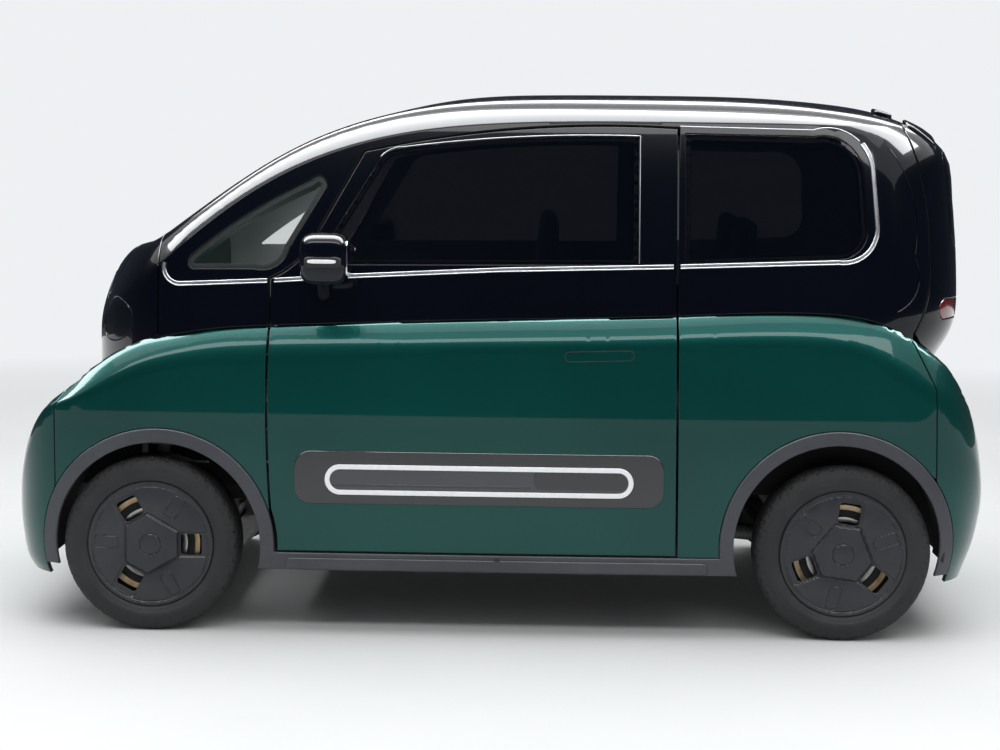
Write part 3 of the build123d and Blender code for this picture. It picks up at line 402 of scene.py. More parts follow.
class Chart:
    """A flat map of part of a form: flat() takes points to the map, lift() map points to the surface."""

    def __init__(self, field, kind, centre=(0, 0, 0), sign=1):
        self.field, self.kind, self.centre, self.sign = field, kind, np.array(centre, float), sign

    def deeper(self, depth):
        """The same map of the surface that lies depth under this one."""
        return Chart(lambda p: self.field(p) + depth, self.kind, self.centre, self.sign)

    def flat(self, p):
        if self.kind == "side":
            return p[..., [0, 2]]
        if self.kind == "above":
            return p[..., [0, 1]]
        d = p - self.centre
        if self.kind == "fan":
            angle = np.arctan2(d[..., 2], d[..., 1])
            angle = np.where(angle < -np.pi / 2, angle + 2 * np.pi, angle)
            return np.stack([p[..., 0], FAN_RADIUS * angle], -1)
        across, ahead = np.hypot(d[..., 0], d[..., 1]), self.sign * d[..., 0]
        return ROUND_RADIUS * np.stack([np.arctan2(d[..., 1], ahead), np.arctan2(d[..., 2], across)], -1)

    def lift(self, uv):
        u, v = uv[..., 0], uv[..., 1]
        if self.kind == "side":
            return from_side(self.field, uv, self.sign)
        if self.kind == "above":
            return from_above(self.field, uv, self.centre[2])
        if self.kind == "fan":
            start = triple(u, self.centre[1], self.centre[2])
            return cast(self.field, start, triple(0, np.cos(v / FAN_RADIUS), np.sin(v / FAN_RADIUS)))
        a, b = u / ROUND_RADIUS, v / ROUND_RADIUS
        direction = triple(self.sign * np.cos(b) * np.cos(a), np.cos(b) * np.sin(a), np.sin(b))
        return cast(self.field, np.broadcast_to(self.centre, direction.shape), direction)


def within(points, lines):
    """Which 2-D points lie inside closed lines, counting the edges that a level ray to the right crosses."""
    count = np.zeros(len(points), int)
    for line in lines:
        a, b = line, np.roll(line, -1, 0)
        for start in range(0, len(points), 4000):
            p = points[start:start + 4000, None]
            level = (a[:, 1] > p[..., 1]) != (b[:, 1] > p[..., 1])
            rise = np.where(b[:, 1] == a[:, 1], 1e-9, b[:, 1] - a[:, 1])
            cross = a[:, 0] + (b[:, 0] - a[:, 0]) * (p[..., 1] - a[:, 1]) / rise
            count[start:start + 4000] += (level & (cross > p[..., 0])).sum(-1)
    return count % 2 == 1


def clipped(line, loops, margin=7.0):
    """The stretches of an open 2-D line inside closed lines and at least margin from their points."""
    if len(line) < 2:
        return []
    near = np.linalg.norm(line[:, None] - np.vstack(loops)[None], axis=-1).min(1)
    clear = within(line, loops) & (near > margin)
    cuts = np.flatnonzero(np.diff(clear.astype(int))) + 1
    runs = zip(np.split(line, cuts), np.split(clear, cuts))
    return [run for run, inside in runs if inside[0] and len(run) > 1]


def fill(lines, spacing, ridges=()):
    """Triangles inside closed 2-D lines, over the lines' points, the ridges' points and a staggered grid.

    Returns the points and the triangles. Ridges are open lines that the triangles' edges follow.
    """
    fixed = np.vstack([*lines, *ridges])
    edges, start = [], 0
    for line, closed in [(line, True) for line in lines] + [(line, False) for line in ridges]:
        k = np.arange(len(line) - (not closed))
        edges += np.stack([start + k, start + (k + 1) % len(line)], -1).tolist()
        start += len(line)
    low, high = fixed.min(0), fixed.max(0)
    across, up = np.arange(low[0], high[0], spacing), np.arange(low[1], high[1], 0.87 * spacing)
    u, v = np.meshgrid(across, up, indexing="ij")
    u = u + spacing / 2 * (np.arange(u.shape[1]) % 2)
    loose = np.stack([u, v], -1).reshape(-1, 2)
    loose = loose[within(loose, lines)]
    clear = [
        (np.linalg.norm(loose[k:k + 1500, None] - fixed[None], axis=-1).min(1) > 0.55 * spacing)
        for k in range(0, len(loose), 1500)
    ]
    loose = loose[np.concatenate(clear)] if clear else loose
    points = np.vstack([fixed, loose])
    result = delaunay_2d_cdt([Vector(q) for q in points], edges, [], 0, 1e-4, True)
    triangles = np.array(result[2])
    source = np.array([ids[0] if ids else -1 for ids in result[3]])
    triangles = source[triangles]
    triangles = triangles[(triangles >= 0).all(1)]
    return points, triangles[within(points[triangles].mean(1), lines)]


def shell(
    chart, loops, outer=0.0, inner=SKIN, edge=EDGE, spacing=18.0, ridges=(), layers=(0, 0, 1), below=None,
):
    """Closed panel of a form between two depths, inside 3-D loops that lie on its surface.

    The rim turns in by a quarter circle of radius edge: a point of it is the loop's point moved inwards along
    the panel by edge times (1 - sin a) and down by edge times (1 - cos a), for a from 0 to 90 degrees.
    layers are the finish numbers of the outer face, the wall and the inner face. below is the inner face's
    chart where it isn't the form itself at the inner depth.
    """
    loops = [np.array(loop) for loop in loops]
    flats = [chart.flat(loop) for loop in loops]
    for k, flat in enumerate(flats):
        if (turning(flat) > 0) != (k == 0):
            flats[k], loops[k] = flat[::-1], loops[k][::-1]
    runs = [run for ridge in ridges for run in clipped(chart.flat(ridge), flats)]
    plane, triangles = fill(flats, spacing, runs)
    rim_count = sum(len(loop) for loop in loops)
    top = chart.deeper(outer) if outer else chart
    points = top.lift(plane) if outer else np.vstack([*loops, chart.lift(plane[rim_count:])])
    normals = facing(top.field, points)
    below = below or chart.deeper(inner)
    depths = below.lift(plane)
    a, b, c = (points[triangles[:, k]] for k in range(3))
    turned = (np.cross(b - a, c - a) * normals[triangles[:, 0]]).sum() < 0
    if turned:
        triangles = triangles[:, ::-1]
    form = Form(points.copy(), [triangles], normals, layer=layers[0])
    start = 0
    for loop in loops:
        k = start + np.arange(len(loop))
        order = k[::-1] if turned else k
        p, n, q = points[order], normals[order], depths[order]
        out = unit(np.cross(np.roll(p, -1, 0) - np.roll(p, 1, 0), n))
        form.points[order] = p - edge * out
        bend = np.radians([0, 30, 60, 90])
        rows = [p - edge * (1 - np.sin(t)) * out - edge * (1 - np.cos(t)) * n for t in bend]
        slopes = [unit(np.sin(t) * out + np.cos(t) * n) for t in bend]
        form += strip(rows, slopes, layers[0])
        form += strip([rows[-1], q], [out, out], layers[1])
        start += len(loop)
    form += Form(depths, [triangles[:, ::-1]], -facing(below.field, depths), layer=layers[2])
    return form


def strip(rows, normals, layer=0):
    """Quads between closed rows of points whose normals are given. The first row is on the panel's inside."""
    p, n = np.array(rows), np.array(normals)
    count, length = p.shape[:2]
    i, j = np.meshgrid(np.arange(count - 1), np.arange(length), indexing="ij")
    j2 = (j + 1) % length
    faces = np.stack([i * length + j, (i + 1) * length + j, (i + 1) * length + j2, i * length + j2], -1)
    return Form(p, [faces.reshape(-1, 4)], n, layer=layer)


def ribbon(path, up, profile, layer=0):
    """A profile of (across, up) points carried along a path: across is its direction times up."""
    along = unit(np.gradient(path, axis=0))
    across = unit(np.cross(along, up))
    up = unit(np.cross(across, along))
    p = path[:, None] + across[:, None] * profile[:, :1] + up[:, None] * profile[:, 1:]
    body = grid(p, loop_v=True, layer=layer).outward(np.repeat(p.mean(1), p.shape[1], 0))
    return body + cap(p[0], -along[0], layer) + cap(p[-1][::-1], along[-1], layer)


def cap(loop, normal, layer=0):
    """Flat fan over a closed loop of points."""
    points = np.vstack([loop, loop.mean(0)])
    k = np.arange(len(loop))
    faces = np.stack([k, (k + 1) % len(loop), np.full(len(loop), len(loop))], -1)
    a, b, c = points[faces[:, 0]], points[faces[:, 1]], points[faces[:, 2]]
    if (np.cross(b - a, c - a).sum(0) * normal).sum() < 0:
        faces = faces[:, ::-1]
    return Form(points, [faces], np.tile(normal, (len(points), 1)), layer=layer)


def oval(width, height, count=16, power=1.0):
    """Profile of a superellipse: cosine and sine of the angle, each raised to the power, going clockwise."""
    a = -2 * np.pi * np.arange(count) / count
    p = np.stack([np.cos(a), np.sin(a)], -1)
    return np.array([width / 2, height / 2]) * np.sign(p) * np.abs(p) ** power


def tube(path, radius, count=16, layer=0):
    """Round bar along a path of points."""
    path = np.asarray(path, float)
    steep = abs(unit(np.gradient(path, axis=0))[:, 2]).max() >= 0.9
    up = np.tile([1.0, 0.0, 0.0] if steep else [0.0, 0.0, 1.0], (len(path), 1))
    return ribbon(path, up, oval(2 * radius, 2 * radius, count), layer)


def revolve(profile, centre, count=96, layer=0):
    """A profile of (radius, y) points turned about the Y axis through centre."""
    profile = np.asarray(profile, float)
    a = 2 * np.pi * np.arange(count) / count
    r, y = profile[:, 0], profile[:, 1]
    p = triple(centre[0] + r * np.cos(a)[:, None], centre[1] + y, centre[2] + r * np.sin(a)[:, None])
    form = grid(p, loop_u=True, layer=layer)
    for row, inner in ((0, 1), (-1, -2)):
        if r[row] < 1e-6:
            form.normals.reshape(p.shape)[:, row] = unit(form.normals.reshape(p.shape)[:, inner].mean(0))
    return form


def pad(outline, middle, width, side=22.0, bulge=10.0, seams=(), channels=(), cols=57):
    """Upholstered pad of one width from its side outline, as a closed form.

    Over the width, with w from -1 to 1, the outline sinks by bulge w^4 and, where |w| is beyond
    c = 1 - 2 side / width, by side (1 - sqrt(1 - ((|w| - c) / (1 - c))^2)) more. A seam runs along the
    outline and a channel across the width between the outer seams: each sinks by 6 exp(-(distance / 7)^2).
    """
    closed = np.vstack([outline, outline[:1]]).astype(float)
    steps = np.concatenate([[0], np.cumsum(np.linalg.norm(np.diff(closed, axis=0), axis=1))])
    at = np.linspace(0, steps[-1], 97)[:-1]
    line = np.stack([np.interp(at, steps, closed[:, 0]), np.interp(at, steps, closed[:, 1])], -1)
    for _ in range(8):
        line = 0.25 * np.roll(line, 1, 0) + 0.5 * line + 0.25 * np.roll(line, -1, 0)
    run = np.roll(line, -1, 0) - np.roll(line, 1, 0)
    out = unit(np.stack([run[:, 1], -run[:, 0]], -1))
    out = out * np.sign(turning(line))
    w = np.sin(np.linspace(-np.pi / 2, np.pi / 2, cols))
    y = w * width / 2
    c = 1 - 2 * side / width
    bend = np.clip((np.abs(w) - c) / (1 - c), 0, 1)
    sink = side * (1 - np.sqrt(np.maximum(1 - bend ** 2, 0))) + bulge * w ** 4
    for seam_y in seams:
        sink = sink + 6 * np.exp(-((y - seam_y) / 7) ** 2)
    sink = np.tile(sink[:, None], (1, len(line)))
    for place in channels:
        away = np.linalg.norm(line - place, axis=1)
        sink += 6 * np.exp(-(away / 7) ** 2) * (np.abs(y) < max(seams, default=width))[:, None]
    rows = line[None] - sink[..., None] * out[None]
    p = triple(rows[..., 0], middle + y[:, None], rows[..., 1])
    form = grid(p, loop_v=True).outward(p.reshape(-1, 3).mean(0))
    return form + cap(p[0], np.array([0.0, -1.0, 0.0])) + cap(p[-1], np.array([0.0, 1.0, 0.0]))


def lump(place, size, power, rows, cols, layer=0):
    """Rounded block about a place: a superellipsoid, its sines and cosines raised to a power below one."""
    u = np.linspace(-np.pi / 2, np.pi / 2, rows)[:, None]
    v = (2 * np.pi * np.arange(cols) / cols)[None]

    def soft(a):
        return np.sign(a) * np.abs(a) ** power

    x, y, z = soft(np.cos(u)) * soft(np.cos(v)), soft(np.cos(u)) * soft(np.sin(v)), soft(np.sin(u))
    return grid(triple(x, y, z) * np.array(size) / 2 + place, loop_v=True, layer=layer).outward(place)


class Value:
    """One shader value. Arithmetic on it adds Math nodes to its finish."""

    def __init__(self, finish, socket):
        self.finish, self.socket = finish, socket

    def math(self, operation, *others):
        return self.finish.node("Math", dict(enumerate((self, *others))), operation=operation)

    def __add__(self, other):
        return self.math("ADD", other)

    def __mul__(self, other):
        return self.math("MULTIPLY", other)

    def __pow__(self, other):
        return self.math("POWER", other)

    __radd__ = __add__


class Finish:
    """A material made of one Principled shader and the nodes that feed it."""

    def __init__(self, name, sockets=()):
        self.material = bpy.data.materials.new(name)
        self.material.use_nodes = True
        self.tree = self.material.node_tree
        self.shader = self.tree.nodes["Principled BSDF"]
        self.set(dict(sockets))

    def join(self, value, socket):
        if isinstance(value, Value):
            self.tree.links.new(value.socket, socket)
        else:
            socket.default_value = (*value, 1.0) if socket.type == "RGBA" else value

    def set(self, sockets):
        for name, value in sockets.items():
            self.join(value, self.shader.inputs[name])

    def node(self, kind, sockets=(), out=0, **settings):
        """Adds one node: its settings first, then the values or links of its sockets."""
        new = self.tree.nodes.new("ShaderNode" + kind)
        for name, value in settings.items():
            setattr(new, name, value)
        for name, value in dict(sockets).items():
            self.join(value, new.inputs[name])
        return Value(self, new.outputs[out])

    def place(self):
        return self.node("TexCoord", out="Object")

    def noise(self, scale, detail=2.0, vector=None):
        sockets = {"Vector": vector or self.place(), "Scale": scale, "Detail": detail}
        return self.node("TexNoise", sockets, noise_dimensions="3D")

    def mix(self, factor, a, b):
        """Colour between a and b."""
        return self.node("Mix", {0: factor, 6: a, 7: b}, out=2, data_type="RGBA")

    def ramp(self, value, low, high):
        """Value brought from between low and high to between 0 and 1."""
        return self.node("MapRange", {"Value": value, "From Min": low, "From Max": high}, clamp=True)

    def bump(self, height, strength, distance):
        normal = self.node("Bump", {"Height": height, "Strength": strength, "Distance": distance})
        self.set({"Normal": normal})


def paint(name, colour, light, metallic, roughness):
    """Clear-coated body paint: fine flakes tilt the base coat, and wide patches shift its colour a little."""
    finish = Finish(name, {
        "Metallic": metallic, "Specular IOR Level": 0.1,
        "Coat Weight": 1.0, "Coat Roughness": 0.02, "Coat IOR": 1.36,
    })
    patch = finish.noise(1.3, 3.0)
    flake = finish.noise(2600.0, 1.0)
    tone = finish.ramp(patch * 0.5 + flake * 0.5, 0.35, 0.65)
    finish.set({"Base Color": finish.mix(tone, colour, light), "Roughness": flake * 0.12 + roughness})
    finish.bump(flake, 0.08, 0.00004)
    return finish


def plastic(name, colour, light, roughness, grain=900.0, depth=0.00008, coat=0.0):
    """Moulded plastic: a fine leather-like grain, dusty patches and duller or shinier areas."""
    finish = Finish(name, {"Coat Weight": coat, "Coat Roughness": 0.05})
    dust = finish.noise(3.0, 5.0)
    streak = finish.noise(40.0, 3.0)
    cell = finish.node("TexVoronoi", {"Vector": finish.place(), "Scale": grain}, feature="SMOOTH_F1")
    tone = finish.ramp(dust * 0.7 + streak * 0.3, 0.35, 0.68)
    shine = streak * 0.14 + dust * 0.1 + (roughness - 0.12)
    finish.set({"Base Color": finish.mix(tone, colour, light), "Roughness": shine})
    finish.bump(cell, 0.35, depth)
    return finish


def metal(name, colour, light, roughness, metallic=1.0, scale=30.0, depth=0.0002):
    """Cast or rolled metal: mottled tone, uneven shine and a fine rough surface."""
    finish = Finish(name, {"Metallic": metallic})
    patch = finish.noise(scale, 4.0)
    fine = finish.noise(scale * 22, 2.0)
    tone = finish.ramp(patch, 0.35, 0.65)
    finish.set({"Base Color": finish.mix(tone, colour, light), "Roughness": patch * 0.3 + (roughness - 0.15)})
    finish.bump(fine, 0.3, depth)
    return finish


def glass(name, colour, see_through, roughness=0.0):
    """Window glass: it covers and reflects more where it is seen edge on, and dust dulls it a little."""
    finish = Finish(name, {"Base Color": colour, "Specular IOR Level": 0.4, "IOR": 1.5})
    edge_on = finish.node("LayerWeight", {"Blend": 0.5}, out="Facing")
    dust = finish.noise(9.0, 4.0)
    finish.set({"Alpha": (1 - see_through) + edge_on**3 * see_through, "Roughness": dust * 0.03 + roughness})
    return finish


def fabric(name, colour, light):
    """Woven cloth: two crossing sets of fine ridges, with fibre noise in tone and height."""
    finish = Finish(name, {"Sheen Weight": 0.35, "Sheen Roughness": 0.5, "Roughness": 0.85})
    threads = [
        finish.node(
            "TexWave", {"Vector": finish.place(), "Scale": 260.0, "Distortion": 1.5, "Detail": 1.0},
            bands_direction=axis,
        )
        for axis in ("X", "Z")
    ]
    fibre = finish.noise(700.0, 3.0)
    weave = threads[0] * threads[1]
    finish.set({"Base Color": finish.mix(finish.ramp(weave * 0.6 + fibre * 0.5, 0.1, 0.9), colour, light)})
    finish.bump(weave + fibre * 0.4, 0.5, 0.0006)
    return finish


def rubber(name, colour, light):
    """Tyre rubber: dull, greyed with dust, a little shinier where it is clean."""
    finish = Finish(name)
    dust = finish.noise(14.0, 6.0)
    fine = finish.noise(420.0, 2.0)
    tone = finish.ramp(dust * 0.6 + fine * 0.4, 0.38, 0.66)
    finish.set({"Base Color": finish.mix(tone, colour, light), "Roughness": dust * 0.3 + 0.52})
    finish.bump(fine, 0.35, 0.00025)
    return finish


FINISHES = {
    "green": paint("green_paint", (0.0008, 0.042, 0.037), (0.0016, 0.066, 0.058), 0.5, 0.26),
    "black": paint("black_paint", (0.0012, 0.0018, 0.0045), (0.002, 0.003, 0.007), 0.0, 0.12),
    "cladding": plastic("grey_cladding", (0.034, 0.037, 0.045), (0.055, 0.059, 0.068), 0.5),
    "liner": plastic(
        "liner_plastic", (0.012, 0.012, 0.013), (0.024, 0.023, 0.022), 0.8, grain=300, depth=0.0003,
    ),
    "inlay": plastic(
        "gloss_inlay", (0.03, 0.034, 0.042), (0.038, 0.042, 0.05), 0.22, depth=0.00001, coat=0.6,
    ),
    "insert": plastic(
        "gloss_insert", (0.004, 0.005, 0.008), (0.006, 0.007, 0.01), 0.14, depth=0.00001, coat=0.8,
    ),
    "white": plastic("white_ring", (0.8, 0.81, 0.82), (0.86, 0.87, 0.88), 0.28, depth=0.00001, coat=0.4),
    "cover": plastic("wheel_cover_plastic", (0.014, 0.016, 0.02), (0.03, 0.032, 0.037), 0.4, grain=700),
    "inside": plastic("dark_interior", (0.035, 0.036, 0.038), (0.05, 0.051, 0.053), 0.6),
    "pale": plastic("pale_interior", (0.46, 0.49, 0.49), (0.56, 0.59, 0.58), 0.55),
    "lining": fabric("roof_lining", (0.42, 0.43, 0.43), (0.52, 0.53, 0.53)),
    "seat": fabric("seat_fabric", (0.05, 0.052, 0.056), (0.1, 0.1, 0.106)),
    "rubber": rubber("tyre_rubber", (0.009, 0.01, 0.011), (0.022, 0.023, 0.024)),
    "seal": plastic("rubber_seal", (0.008, 0.008, 0.008), (0.014, 0.014, 0.014), 0.6),
    "satin": metal("satin_trim", (0.3, 0.31, 0.33), (0.38, 0.39, 0.41), 0.38, scale=14, depth=0.00004),
    "silver": metal("mirror_glass", (0.8, 0.81, 0.82), (0.84, 0.85, 0.86), 0.08, scale=3, depth=0.000001),
    "chrome": metal("bright_trim", (0.62, 0.63, 0.65), (0.72, 0.73, 0.75), 0.2, scale=12, depth=0.00002),
    "steel": metal("wheel_steel", (0.4, 0.4, 0.39), (0.58, 0.56, 0.54), 0.35),
    "bronze": metal("zinc_bracket", (0.3, 0.2, 0.1), (0.46, 0.36, 0.24), 0.42),
    "brake": metal("brake_iron", (0.2, 0.13, 0.08), (0.42, 0.38, 0.33), 0.4),
    "cast": metal("cast_metal", (0.09, 0.09, 0.093), (0.17, 0.165, 0.16), 0.6, metallic=0.6),
    "coated": metal("coated_steel", (0.02, 0.02, 0.022), (0.045, 0.044, 0.043), 0.65, metallic=0.1),
    "clear": glass("clear_glass", (0.05, 0.08, 0.078), 0.9),
    "dark": glass("dark_glass", (0.0015, 0.0024, 0.005), 0.26),
    "lens": glass("lamp_lens", (0.01, 0.012, 0.015), 0.72),
    "red": plastic(
        "tail_lens", (0.1, 0.002, 0.002), (0.14, 0.004, 0.003), 0.14, grain=260, depth=0.0001, coat=1.0,
    ),
    "lit": plastic("lamp_white", (0.75, 0.77, 0.8), (0.85, 0.86, 0.88), 0.2, depth=0.00001, coat=0.6),
}


def piece(name, form, finishes, body, slot, *nodes):
    """Puts a form into the scene as one object that rides a body and stands for some nodes."""
    data = bpy.data.meshes.new(name)
    faces = [row for f in form.faces for row in f.tolist()]
    data.from_pydata((form.points * MM).tolist(), [], faces)
    data.polygons.foreach_set("material_index", np.concatenate(form.layers).astype(np.int32))
    data.polygons.foreach_set("use_smooth", np.ones(len(faces), bool))
    data.normals_split_custom_set_from_vertices(form.normals.tolist())
    for finish in finishes:
        data.materials.append(FINISHES[finish].material)
    data.update()
    obj = bpy.data.objects.new(name, data)
    bpy.context.scene.collection.objects.link(obj)
    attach(obj, body)
    if nodes:
        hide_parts(*nodes)
    return obj


def pair(name, form, finishes, body, slot, *nodes):
    """A left piece and its mirror image. Names and bodies get _left and _right where they end in a dash."""
    for side, shape in (("left", form), ("right", form.mirrored())):
        piece(f"{name}_{side}", shape, finishes, body.replace("-", "_" + side), slot,
              *(node.replace("-", "_" + side) for node in nodes))


# Maps of the two forms, and the places on the middle plane from which the round ones are seen
NOSE_X, TAIL_X = NOSE - 500, TAIL + 500
MASK_X, GATE_X = NOSE - 600, TAIL + 520
TUB_SIDE = Chart(tub_field, "side")
TUB_FAN = Chart(tub_field, "fan", (0, 0, 560))
NOSE_MAP = Chart(tub_field, "round", (NOSE_X, 0, 450))
TAIL_MAP = Chart(tub_field, "round", (TAIL_X, 0, 450), -1)
CABIN_SIDE = Chart(cabin_field, "side")
CABIN_FAN = Chart(cabin_field, "fan", (0, 0, 900))
CABIN_ABOVE = Chart(cabin_field, "above", (0, 0, 800))
MASK_MAP = Chart(cabin_field, "round", (MASK_X, 0, 800))
GATE_MAP = Chart(cabin_field, "round", (GATE_X, 0, 1150), -1)


def meeting(start, direction, depth=0.0, rise=0.0):
    """Where the tub's top meets the cabin along level rays, depth inside the cabin and rise above the tub."""
    inner = CABIN_SIDE.deeper(depth).field
    z = np.full(start.shape[:-1], 860.0)
    for _ in range(8):
        p = cast(inner, triple(start[..., 0], start[..., 1], z), direction)
        z = from_above(tub_field, p[..., :2])[..., 2] + rise
    return triple(p[..., 0], p[..., 1], z)


def seam(x0, x1, depth=CABIN_WALL, rise=0.0):
    """Left side of the line between tub and cabin."""
    x = np.linspace(x0, x1, max(3, int(abs(x1 - x0) / 14)))
    return meeting(triple(x, 0, 0), np.array([0.0, 1.0, 0.0]), depth, rise)


def on_cabin(line):
    """Points of the cabin's left side at side view (x, z)."""
    return from_side(cabin_field, line)


def on_roof(line, low=900.0):
    """Points of the cabin seen from above at (x, y), over the height low."""
    return from_above(cabin_field, line, low)


def on_mask(line):
    """Points of the cabin's front at (y, z)."""
    return from_end(cabin_field, line, 1)


def on_gate(line):
    """Points of the cabin's rear at (y, z)."""
    return from_end(cabin_field, line, -1)


def seam_round(centre, sign, start, end, depth=CABIN_WALL, rise=0.0):
    """The seam of tub and cabin round the nose (sign 1) or tail (sign -1), over angles from straight on."""
    a = np.radians(np.linspace(start, end, 90))
    return meeting(triple(centre, 0 * a, 0), triple(sign * np.cos(a), np.sin(a), 0), depth, rise)


def whole(half):
    """Closed loop from its left half, which runs between two points on the middle plane."""
    keep = half[half[:, 1] > 2.0]
    ends = [half[0] * [1, 0, 1], half[-1] * [1, 0, 1]]
    return np.vstack([ends[0], keep, ends[1], keep[::-1] * [1, -1, 1]])


def below_ledge(line):
    """The points of a side view line that lie under the tub's top edge."""
    return line[line[:, 1] < TUB_TOP(line[:, 0]) - HALF_SEAM]


def pushed(line, centre, radius):
    """A side view line with the points inside a circle pushed out to it."""
    d = line - centre
    r = np.linalg.norm(d, axis=-1, keepdims=True)
    return np.where(r < radius, centre + d * radius / r, line)


def outside(line, centre, radius):
    """The points of a side view line outside a circle."""
    return line[np.linalg.norm(line - centre, axis=-1) > radius]


def foot(x0, x1, drop=3.0):
    """Side view line just under the tub's top edge, where the cabin's panels end."""
    x = np.linspace(x0, x1, max(3, int(abs(x1 - x0) / 14)))
    return np.stack([x, TUB_TOP(x) - drop], -1)


def rounded(x0, x1, z0, z1, r, rim=0.0):
    """Closed side view outline of a rounded rectangle, smaller by rim."""
    x0, x1, z0, z1, r = x0 + rim, x1 - rim, z0 + rim, z1 - rim, r - rim
    k = r * (1 - math.sqrt(0.5))
    return ring([
        (x0 + r, z0), (x1 - r, z0), [(x1 - k, z0 + k), (x1, z0 + r)], (x1, z1 - r),
        [(x1 - k, z1 - k), (x1 - r, z1)],
        (x0 + r, z1), [(x0 + k, z1 - k), (x0, z1 - r)], (x0, z0 + r), [(x0 + k, z0 + k), (x0 + r, z0)],
    ], 6.0)


# Outlines in side view
TRIM_OUT = TRIM_RADIUS + HALF_SEAM
NOSE_LINE = [(NOSE - 150, 400), (NOSE - 148, 660), (NOSE - 185, 712)]
TAIL_LINE = [(TAIL + 179, 440), (TAIL + 186, 742), (TAIL + 268, 905)]
DOOR_FRONT_LINE = [
    (DOOR_FRONT, TUB_TOP(DOOR_FRONT) - HALF_SEAM), (DOOR_FRONT, 900),
    [(DOOR_FRONT + 4, 690), (DOOR_FRONT - 18, DOOR_BOTTOM)],
]
DOOR_TOP = [
    (DOOR_REAR, TUB_TOP(DOOR_REAR) - 3), (DOOR_REAR + 1, HEIGHT - 114),
    [(-60, HEIGHT - 120), (DOOR_FRONT - 266, HEIGHT - 190)],
    (DOOR_FRONT - 141, 1181), [(DOOR_FRONT - 60, 1072), (DOOR_FRONT, 1036)],
    (DOOR_FRONT, TUB_TOP(DOOR_FRONT) - 3),
]
APERTURE_TOP = [
    (DOOR_REAR - GAP, TUB_TOP(DOOR_REAR) - 3), (DOOR_REAR - GAP, HEIGHT - 108),
    (DOOR_REAR + 20, HEIGHT - 108),
    [(-60, HEIGHT - 114), (DOOR_FRONT - 262, HEIGHT - 185)], (DOOR_FRONT - 136, 1184),
    [(DOOR_FRONT - 56, 1077), (DOOR_FRONT + 5, 1041)],
    (DOOR_FRONT + GAP, 1036), (DOOR_FRONT + GAP, TUB_TOP(DOOR_FRONT + GAP) - 3),
]
DOOR_GLASS = ring([
    (DOOR_FRONT - 124, 1080), (DOOR_FRONT - 312, HEIGHT - 206),
    [(DOOR_FRONT - 338, HEIGHT - 186), (DOOR_FRONT - 380, HEIGHT - 177)],
    [(10, HEIGHT - 148), (DOOR_REAR + 112, HEIGHT - 138)], (DOOR_REAR + 112, 1090),
])
QUARTER_GLASS = ring([
    (NOSE - 542, 1100), [(NOSE - 540, 1072), (NOSE - 567, 1064)], (DOOR_FRONT + 50, 1066),
    [(DOOR_FRONT - 28, 1085), (DOOR_FRONT - 52, 1128)], (DOOR_FRONT - 150, 1296),
    [(DOOR_FRONT - 152, 1328), (DOOR_FRONT - 112, 1326)],
    [(DOOR_FRONT + 62, 1230), (NOSE - 542, 1100)],
])
REAR_GLASS = ring([
    (DOOR_REAR - 22, 1094), (TAIL + 480, 1113), [(TAIL + 415, 1138), (TAIL + 392, 1215)],
    (TAIL + 402, HEIGHT - 235),
    [(TAIL + 440, HEIGHT - 158), (TAIL + 545, HEIGHT - 131)], (DOOR_REAR - 22, HEIGHT - 126),
])
GATE_SIDE = [
    (TAIL + 264, HEIGHT - 112), [(TAIL + 213, HEIGHT - 265), (TAIL + 193, 1120)],
    [(TAIL + 196, 1010), (TAIL + 240, 898)],
]
# Outlines from above, from the front and from behind, left halves first
SCREEN = [
    (NOSE - 1115, 0), (NOSE - 1106, 480), [(NOSE - 1090, 540), (NOSE - 1030, 560)], (NOSE - 520, 640),
    [(NOSE - 470, 620), (NOSE - 452, 560)], [(NOSE - 424, 250), (NOSE - 416, 0)],
]
BONNET = [
    (NOSE - 382, 0), (NOSE - 386, 430), [(NOSE - 372, 470), (NOSE - 340, 480)], (NOSE - 284, 470),
    [(NOSE - 248, 440), (NOSE - 238, 400)], (NOSE - 218, 0),
]
HEAD_LAMP = ring([
    (545, 850), [(620, 840), (690, 866)], [(702, 905), (676, 948)], [(610, 968), (548, 962)],
    [(520, 905), (545, 850)],
], 6.0)
REAR_WINDOW = [
    (0, 1140), (470, 1146), [(515, 1162), (530, 1210)], (505, HEIGHT - 210),
    [(485, HEIGHT - 176), (440, HEIGHT - 168)],
    (0, HEIGHT - 160),
]
TAIL_LAMP = ring([
    (430, 935), (600, 935), [(640, 965), (600, 995)], (430, 995), [(400, 965), (430, 935)]], 6.0,
)


def halves(line, flip):
    """Closed outline from its left half: flip is -1 for the coordinate that runs across the car."""
    return np.vstack([line, (line * flip)[-2:0:-1]])


# Lines along the crease and the ledge: the share of the fall that lies above, and a lift
LEDGE_LINES = ((1.29, -7.0), (1.29, 0.0), (1.29, 6.0), (0.863, 0.0), (0.489, 0.0), (0.185, 0.0))
CORNER_START = 1214.0


